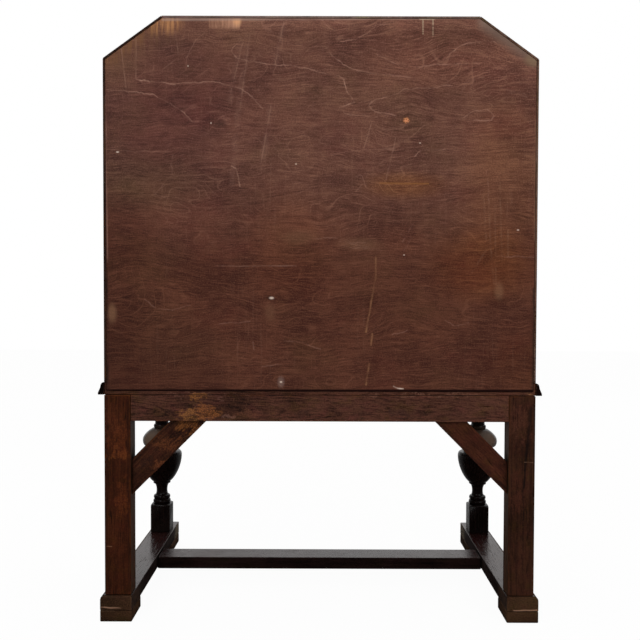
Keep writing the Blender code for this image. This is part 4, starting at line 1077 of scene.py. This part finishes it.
# %% Sticks of the stand
X, Y, Z = range(3)
LEG_FOOT = 0.0473
STRETCHER_END = 0.3324
REAR_APRON_END = 0.3342
FRONT_APRON_END = 0.3377
SIDE_APRON_FRONT = -0.1450
SIDE_APRON_REAR = 0.1907
POST_EASED = 0.0016
FOOT_EASED = 0.0018
STRETCHER_EASED = 0.0022
LONG_CHAMFER = 0.0050
END_CHAMFER = 0.0022
NEAR = 0.001
for side, sign in SIDES:
    node = f"rear_leg_{side}"
    leg_oak, brace_oak = (oak_rear_right, oak_brace_right) if sign > 0 else (oak_rear_left, oak_brace_left)
    leg = stick(node, leg_oak, Z, LEG_FOOT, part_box(node)[1].z, POST_EASED, "post")
    finish_side(leg, oak_rear_inside, (-sign, 0, 0))
    low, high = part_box(f"runner_{side}")
    runner = block(f"runner_{side}_rail", low, high)
    outer = max(low.x, high.x, key=abs)
    chamfer(runner, lambda spot: spot.z > high.z - NEAR and abs(spot.x - outer) < NEAR, LONG_CHAMFER)
    chamfer(runner, lambda spot: spot.z > high.z - LONG_CHAMFER - NEAR and high.y - spot.y < NEAR, END_CHAMFER)
    dress(ease_edges(runner), oak_dull_side, [f"runner_{side}"])
    finish_side(runner, oak_runner, UPWARD)
    for direction in (REARWARD, (sign * 0.7, 0, 0.7), (0, 0.7, 0.7)):
        finish_side(runner, oak_foot, direction)
    board(f"foot_rear_{side}", oak_foot, FOOT_EASED)
    board(f"foot_front_{side}", oak_foot, FOOT_EASED)
    cut_board(f"rear_brace_{side}", brace_oak)
    stick(f"side_apron_{side}", oak_stand_hidden, Y, SIDE_APRON_FRONT, SIDE_APRON_REAR)
stick("rear_apron", oak_rear_apron, X, -REAR_APRON_END, REAR_APRON_END, FINE)
stick("front_apron", oak_across, X, -FRONT_APRON_END, FRONT_APRON_END)
rail = stick("stretcher", oak_stretcher_side, X, -STRETCHER_END, STRETCHER_END, STRETCHER_EASED)
finish_side(rail, oak_stretcher, UPWARD)

# %% [markdown]
# ## The turned front legs
#
# A front leg was turned on a lathe between two square blocks: rings, a thin neck, a swelling cup, and a
# cover on it like a lidded goblet. It could be cut from a cylinder ring by ring, but spinning an outline
# is how the lathe itself works: one vertex is extruded along the outline and the line is spun once round.
# The blocks are cubes whose corners a spun collar rounds off, as the gouge does at the shoulder.

# %% Turning helpers
BEND_REACH = 0.75  # an even bend comes this share of the way to its handles


def bend_line(start, leave, arrive, end, count=9):
    """Points of a smooth stretch of an outline, without its first point."""
    flat_points = [Vector((*point, 0)) for point in (start, leave, arrive, end)]
    return [(point.x, point.y) for point in interpolate_bezier(*flat_points, count)[1:]]


def half_round(inner, radius, low, high):
    swell = inner + (radius - inner) / BEND_REACH
    return bend_line((inner, low), (swell, low), (swell, high), (inner, high))


def trace(*steps):
    """An outline of (radius, height) points. A longer step is a bend: leave, arrive, end and a count."""
    points = []
    for step in steps:
        points += [step] if len(step) == 2 else bend_line(points[-1], *step)
    return points


def turn_on_lathe(name, outline, steps=64):
    """Spins an outline about Z and closes its seam."""
    clear_selection()
    bpy.ops.mesh.primitive_plane_add(size=0.001)
    piece = new_piece(name)
    open_mesh()
    bpy.ops.mesh.merge(type="CENTER")
    bpy.ops.transform.translate(value=(outline[0][0], 0, outline[0][1]))
    for before, after in zip(outline, outline[1:]):
        step = (after[0] - before[0], 0, after[1] - before[1])
        bpy.ops.mesh.extrude_region_move(TRANSFORM_OT_translate={"value": step})
    bpy.ops.mesh.select_all(action="SELECT")
    bpy.ops.mesh.spin(steps=steps, angle=math.tau, center=(0, 0, 0), axis=(0, 0, 1))
    bpy.ops.mesh.select_all(action="SELECT")
    bpy.ops.mesh.remove_doubles(threshold=0.000001)
    bpy.ops.mesh.normals_make_consistent(inside=False)
    close_mesh()
    bpy.ops.object.shade_smooth_by_angle(angle=math.radians(32))
    return piece


def carve(piece, tool, way):
    """Cuts a piece with another shape, which is then thrown away."""
    work_on(piece)
    modifier = piece.modifiers.new("carve", "BOOLEAN")
    modifier.operation = way
    modifier.solver = "EXACT"
    modifier.object = tool
    bpy.ops.object.modifier_apply(modifier=modifier.name)
    bpy.data.objects.remove(tool, do_unlink=True)
    return piece


def settle(piece, location=(0, 0, 0), turn=(0, 0, 0)):
    """Moves and turns a piece, and puts its place into its mesh."""
    work_on(piece)
    piece.location = location
    piece.rotation_euler = turn
    keep_place()
    return piece


def second(piece, name):
    """A copy of a piece with a mesh of its own."""
    twin = bpy.data.objects.new(name, piece.data.copy())
    twin.data.name = name
    bpy.context.scene.collection.objects.link(twin)
    return twin


def join_to(piece, *others):
    work_on(piece)
    for other in others:
        other.select_set(True)
    bpy.ops.object.join()


print("turning helpers ready")

# %% Outline of the turned stretch
LOWER_BLOCK_TOP = 0.1095
UPPER_BLOCK_LOW = 0.3200
STUB = 0.005
CORE = 0.0155
NECK = 0.0121
CUP_FOOT = 0.0190
CUP = 0.0447
COVER = 0.0424
UPPER_CORE = 0.0150
MEMBERS = {
    "lower_ring": 0.0100, "second_ring": 0.0090, "neck": 0.0270, "cup_foot": 0.0036,
    "cup": 0.0600, "rim": 0.0095, "groove": 0.0125, "cover_edge": 0.0142,
    "dome": 0.0257, "collar": 0.0090, "upper_neck": 0.0095, "upper_ring": 0.0205,
}
fit = (UPPER_BLOCK_LOW - LOWER_BLOCK_TOP) / sum(MEMBERS.values())


def at(name, share=0.0):
    """The height at some share of a member of the turning."""
    below = list(MEMBERS.values())[:list(MEMBERS).index(name)]
    return LOWER_BLOCK_TOP + (sum(below) + share * MEMBERS[name]) * fit


waist = (NECK - (CORE + CUP_FOOT) / 8) / BEND_REACH
leg_line = trace(
    (0, LOWER_BLOCK_TOP - STUB), (CORE, LOWER_BLOCK_TOP - STUB), (CORE, at("lower_ring")),
    *half_round(CORE, 0.0194, at("lower_ring"), at("second_ring")),
    *half_round(CORE, 0.0185, at("second_ring"), at("neck")),
    ((waist, at("neck")), (waist, at("cup_foot")), (CUP_FOOT, at("cup_foot")), 14),
    (CUP_FOOT, at("cup")),
    ((0.0293, at("cup", 0.11)), (CUP, at("cup", 0.56)), (CUP, at("rim")), 18),
    ((CUP, at("rim", 0.6)), (0.0427, at("groove")), (0.0380, at("groove"))),
    (0.0320, at("groove")), (0.0320, at("cover_edge")), (0.0346, at("cover_edge")),
    ((0.0401, at("cover_edge")), (COVER, at("cover_edge", 0.45)), (COVER, at("dome"))),
    ((COVER, at("dome", 0.36)), (0.0290, at("dome", 0.84)), (0.0183, at("collar")), 16),
    (UPPER_CORE, at("collar")),
    *half_round(UPPER_CORE, 0.0180, at("collar"), at("upper_neck")),
    (UPPER_CORE, at("upper_ring")),
    *half_round(UPPER_CORE, 0.0196, at("upper_ring"), UPPER_BLOCK_LOW),
    (UPPER_CORE, UPPER_BLOCK_LOW + STUB), (0, UPPER_BLOCK_LOW + STUB),
)
print("outline of a front leg has", len(leg_line), "points")

# %% Front legs
FRONT_LEG = Vector((0.3595, -0.1668, 0))
STAND_TOP = 0.4040
BLOCK_HALF = 0.0215
BLOCK_EASED = 0.0014
CORNER = 0.0307
SHOULDER = 0.0080
TOOL_RADIUS = 0.036
TOOL_BEYOND = 0.010


def rounded_block(name, square_end, round_end):
    """A square block whose corners round off towards the turned stretch."""
    low, high = sorted((square_end, round_end))
    piece = block(name, (-BLOCK_HALF, -BLOCK_HALF, low), (BLOCK_HALF, BLOCK_HALF, high))
    ease_edges(piece, BLOCK_EASED)
    sense = math.copysign(1, square_end - round_end)
    shoulder = round_end + sense * SHOULDER
    far = square_end + sense * TOOL_BEYOND
    outline = trace(
        (0, far), (TOOL_RADIUS, far), (TOOL_RADIUS, shoulder), (CORNER, shoulder),
        ((CORNER, round_end + sense * 0.0032), (0.0256, round_end), (0.0204, round_end), 12),
        (0, round_end),
    )
    return carve(piece, turn_on_lathe("collar_tool", outline, 60), "INTERSECT")


turned = turn_on_lathe("front_leg_turned", leg_line, 72)
lower = rounded_block("front_leg_lower_block", LEG_FOOT, LOWER_BLOCK_TOP)
upper = rounded_block("front_leg_upper_block", STAND_TOP, UPPER_BLOCK_LOW)
join_to(turned, lower, upper)
bpy.ops.object.shade_smooth_by_angle(angle=math.radians(32))
turned.name = "front_leg_right_turned"
other_leg = second(turned, "front_leg_left_turned")
for leg, side, sign in ((turned, "right", 1), (other_leg, "left", -1)):
    settle(leg, (sign * FRONT_LEG.x, FRONT_LEG.y, 0))
    dress(leg, oak_turned, [f"front_leg_{side}"])
print("front leg has", len(turned.data.polygons), "faces")

# %% [markdown]
# ## The case
#
# The case is a shell of boards with canted corners, closed behind by the veneered sheet. The boards are
# cut to the slope and rebated for the back, so they are copied from the frame. On the base moulding only
# the sharp edges are eased, so its curve stays smooth.

# %% Shell of the case
CANT_EASED = 0.0008
MOULDING = {"width": THIN, "angle": 50}
for side, sign in SIDES:
    rear_edge = oak_edge_right if sign > 0 else oak_edge_left
    finish_side(cut_board(f"case_side_{side}", oak_side, FINE), rear_edge, REARWARD)
    finish_side(cut_board(f"cant_{side}", oak_side, CANT_EASED), rear_edge, REARWARD)
    finish_side(cut_board(f"base_moulding_{side}", oak_deep, **MOULDING), oak_dull_across, REARWARD)
    board(f"loper_partition_{side}", oak_partition, FINE)
    board(f"inner_divider_{side}", oak_partition, FINE)
finish_side(cut_board("top_board", oak_across, FINE), oak_edge_top, REARWARD)
finish_side(cut_board("bottom_board", oak_across, FINE), oak_rear_apron, REARWARD)
cut_board("base_moulding_front", oak_across, **MOULDING)
cut_board("writing_board", oak_inside, THIN)
cut_board("drawer_divider", oak_across, FINE)
board("inner_shelf", oak_inside, FINE)

# %% [markdown]
# ## The back sheet
#
# The sheet is six millimetres thick and a little rubbed at its rim. A plane would do from behind, but its
# inner face shows when the fall is open. So the whole sheet with its cut corners is copied from the frame,
# and a fine bevel eases its rim. All the rest of its look is in the veneer.

# %% Back sheet
SHEET_EASED = 0.0007
back = frame_copy("back_panel_sheet", "back_panel")
ease_edges(back, SHEET_EASED, 2)
dress(back, veneer, ["back_panel"])
finish_side(back, oak_back_inside, -REARWARD)
print("back sheet has", len(back.data.polygons), "faces")

# %% [markdown]
# ## Fall, lopers and drawers
#
# The fall is the writing flap, with a field worked into its face. The lopers slide out to carry it, each
# with a small turned knob, and two drawers run below. They could be joined to the case for a still
# picture, but all of them move, so each board rides on its own body.

# %% Fall and lopers
KNOB_X, KNOB_Z = 0.353, 0.660
FACING_FRONT = (math.pi / 2, 0, 0)
CASE_FRONT = -0.193
KNOB_SEAT = CASE_FRONT + 0.0002
cut_board("fall", oak_fall, FINE, "fall")
knob_line = trace(
    (0, 0), (0.0058, 0), (0.0058, 0.0012),
    ((0.0034, 0.0020), (0.0034, 0.0050), (0.0046, 0.0066)),
    ((0.0082, 0.0072), (0.0084, 0.0122), (0.0052, 0.0148)),
    ((0.0036, 0.0158), (0.0018, 0.0160), (0, 0.0160)),
)
knob = turn_on_lathe("loper_right_knob", knob_line, 40)
other_knob = second(knob, "loper_left_knob")
for piece, side, sign in ((knob, "right", 1), (other_knob, "left", -1)):
    board(f"loper_{side}", oak_deep, FINE, f"loper_{side}")
    settle(piece, (sign * KNOB_X, KNOB_SEAT, KNOB_Z), FACING_FRONT)
    dress(piece, oak_turned, body=f"loper_{side}")
print("lopers with knobs:", len(SIDES))

# %% Drawers
DRAWERS = ("upper_drawer", "lower_drawer")
for drawer in DRAWERS:
    cut_board(f"{drawer}_front", oak_drawer, FINE, drawer)
    for side, _ in SIDES:
        cut_board(f"{drawer}_side_{side}", lining_deep, FINE, drawer, "drawer_lining")
    board(f"{drawer}_back", lining_across, FINE, drawer)
    board(f"{drawer}_bottom", lining_across, THIN, drawer)
print("drawers:", len(DRAWERS))

# %% [markdown]
# ## Drop handles
#
# Each drawer has two pear drops. The rose is a thin stamped disc with a raised ring, turned from its
# outline like the legs. Two ears hold a pin, and the drop hangs on it by a drilled eye. Rather than four
# handles, one is made at the origin, facing -Y, and copied to its places.

# %% One rose
STANDOFF = 0.0115
EAR_INNER, EAR_OUTER = 0.0028, 0.0050
EAR_TIP, EAR_ROOT = -0.0147, -0.0015
EAR_HALF = 0.0032
ON_ITS_SIDE = (0, math.pi / 2, 0)
rose_line = trace(
    (0, 0.0003), (0.0180, 0.0003), (0.0180, 0.0010),
    ((0.0180, 0.0024), (0.0168, 0.0028), (0.0158, 0.0022), 6),
    ((0.0150, 0.0017), (0.0146, 0.0016), (0.0138, 0.0018), 5),
    ((0.0120, 0.0022), (0.0112, 0.0030), (0.0098, 0.0030), 6),
    ((0.0088, 0.0030), (0.0086, 0.0022), (0.0076, 0.0022), 5),
    ((0.0060, 0.0024), (0.0040, 0.0030), (0, 0.0030), 6),
)
rose = settle(turn_on_lathe("rose", rose_line, 48), turn=FACING_FRONT)
ears = []
for sign in (-1, 1):
    near, far = sorted((sign * EAR_INNER, sign * EAR_OUTER))
    ear = block("ear", (near, EAR_TIP, -EAR_HALF), (far, EAR_ROOT, EAR_HALF))
    ears.append(ease_edges(ear, FINE))
pin_line = [(0, -0.0058), (0.0010, -0.0058), (0.0014, -0.0054), (0.0014, 0.0054), (0.0010, 0.0058), (0, 0.0058)]
pin = settle(turn_on_lathe("pin", pin_line, 20), (0, -STANDOFF, 0), ON_ITS_SIDE)
join_to(rose, *ears, pin)
print("rose has", len(rose.data.polygons), "faces")

# %% One drop
drop_line = trace(
    (0, -0.0019), (0.0027, -0.0019), (0.0027, -0.0080),
    *half_round(0.0027, 0.0040, -0.0080, -0.0100),
    ((0.0027, -0.0160), (0.0076, -0.0200), (0.0076, -0.0280), 14),
    ((0.0076, -0.0320), (0.0028, -0.0352), (0.0022, -0.0352), 10),
    ((0.0034, -0.0368), (0.0030, -0.0400), (0, -0.0400), 8),
)
drop = settle(turn_on_lathe("drop", drop_line, 36), (0, -STANDOFF, 0))
clear_selection()
bpy.ops.mesh.primitive_torus_add(
    location=(0, -STANDOFF, 0), rotation=ON_ITS_SIDE, major_radius=0.0027, minor_radius=0.0011,
    major_segments=28, minor_segments=12,
)
eye = bpy.context.object
keep_place()
open_mesh()
bpy.ops.transform.resize(value=(2.0, 1, 1), center_override=(0, -STANDOFF, 0))
close_mesh()
bpy.ops.object.shade_smooth()
join_to(drop, eye)
print("drop has", len(drop.data.polygons), "faces")

# %% Four handles
for drawer in DRAWERS:
    for side, _ in SIDES:
        low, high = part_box(f"{drawer}_handle_{side}_rose")
        spot = ((low.x + high.x) / 2, CASE_FRONT, (low.z + high.z) / 2)
        for model, word, body in ((rose, "rose", drawer), (drop, "drop", f"{drawer}_drop_{side}")):
            node = f"{drawer}_handle_{side}_{word}"
            piece = settle(second(model, f"{node}_brass"), spot)
            dress(piece, brass, [node], body)
for model in (rose, drop):
    bpy.data.objects.remove(model, do_unlink=True)

# %% [markdown]
# ## Hinges, screws and keyhole plates
#
# The two hinges are let into the bed and the fall, and are copied from the frame so that they still turn
# on their line. Each leaf is held by three countersunk screws with a slot. The fall and both drawers have
# a small brass plate round the keyhole: an oval that is eased and pierced.

# %% Hinges
SLOPE = math.radians(60)
HINGE_LINE = Vector((0, CASE_FRONT, 0.735))
HINGE_X = 0.240
HINGE_EASED = 0.0002
SCREW_STEP = 0.021
SCREW_REACH = {-SCREW_STEP: 0.019, 0.0: 0.014, SCREW_STEP: 0.019}
SLOT_TURN = 0.6
UP_SLOPE = Vector((0, math.cos(SLOPE), math.sin(SLOPE)))
INWARD = Vector((0, math.sin(SLOPE), -math.cos(SLOPE)))
LYING_ON_FALL = INWARD.to_track_quat("Z", "Y").to_euler()
for side, _ in SIDES:
    for node, body in ((f"hinge_bed_leaf_{side}", "case_and_stand"), (f"hinge_fall_leaf_{side}", "fall")):
        leaf = frame_copy(f"{node}_brass", node)
        ease_edges(leaf, HINGE_EASED, 2, 50)
        dress(leaf, brass, [node], body)
screw_line = [(0, -0.0006), (0.0030, -0.0006), (0.0030, 0.0001), (0.0026, 0.0003), (0.0012, 0.0004), (0, 0.0004)]
screw = turn_on_lathe("screw", screw_line, 28)
carve(screw, block("slot_tool", (-0.004, -0.00035, 0.0001), (0.004, 0.00035, 0.002)), "DIFFERENCE")
number = 0
for side, sign in SIDES:
    for step, reach in SCREW_REACH.items():
        number += 1
        middle = HINGE_LINE + Vector((sign * HINGE_X + step, 0, 0))
        slot_turn = (0, 0, SLOT_TURN * number)
        piece = settle(second(screw, f"bed_screw_{number}"), middle + REARWARD * reach, slot_turn)
        dress(piece, brass)
        piece = settle(second(screw, f"fall_screw_{number}"), middle + UP_SLOPE * reach, LYING_ON_FALL)
        dress(piece, brass, body="fall")
bpy.data.objects.remove(screw, do_unlink=True)
print("screws:", 2 * number)

# %% Keyhole plates
PLATE_HALVES = (0.0085, 0.0130, 1)
PLATE_EASED = 0.0005
PLATE_STAND = 0.0007
FALL_FACE = 0.0182
PLATE_UP_SLOPE = 0.3505
PLATE_HEIGHTS = {"upper_drawer": 0.672, "lower_drawer": 0.525}
places = {body: (0, CASE_FRONT - PLATE_STAND, height) for body, height in PLATE_HEIGHTS.items()}
places["fall"] = HINGE_LINE + UP_SLOPE * PLATE_UP_SLOPE - INWARD * (FALL_FACE + PLATE_STAND)
clear_selection()
bpy.ops.mesh.primitive_cylinder_add(vertices=40, radius=1, depth=0.0012, rotation=FACING_FRONT)
plate = bpy.context.object
plate.scale = PLATE_HALVES
keep_place()
ease_edges(plate, PLATE_EASED, 2)
carve(plate, block("keyhole_tool", (-0.0010, -0.004, -0.0060), (0.0010, 0.004, 0.0010)), "DIFFERENCE")
clear_selection()
bpy.ops.mesh.primitive_cylinder_add(
    vertices=24, radius=0.0021, depth=0.008, location=(0, 0, 0.0025), rotation=FACING_FRONT
)
carve(plate, bpy.context.object, "DIFFERENCE")
for body, spot in places.items():
    lean = SLOPE - math.pi / 2 if body == "fall" else 0
    piece = settle(second(plate, f"{body}_keyhole_plate"), spot, (lean, 0, 0))
    dress(piece, brass, body=body)
bpy.data.objects.remove(plate, do_unlink=True)
print("keyhole plates:", len(places))
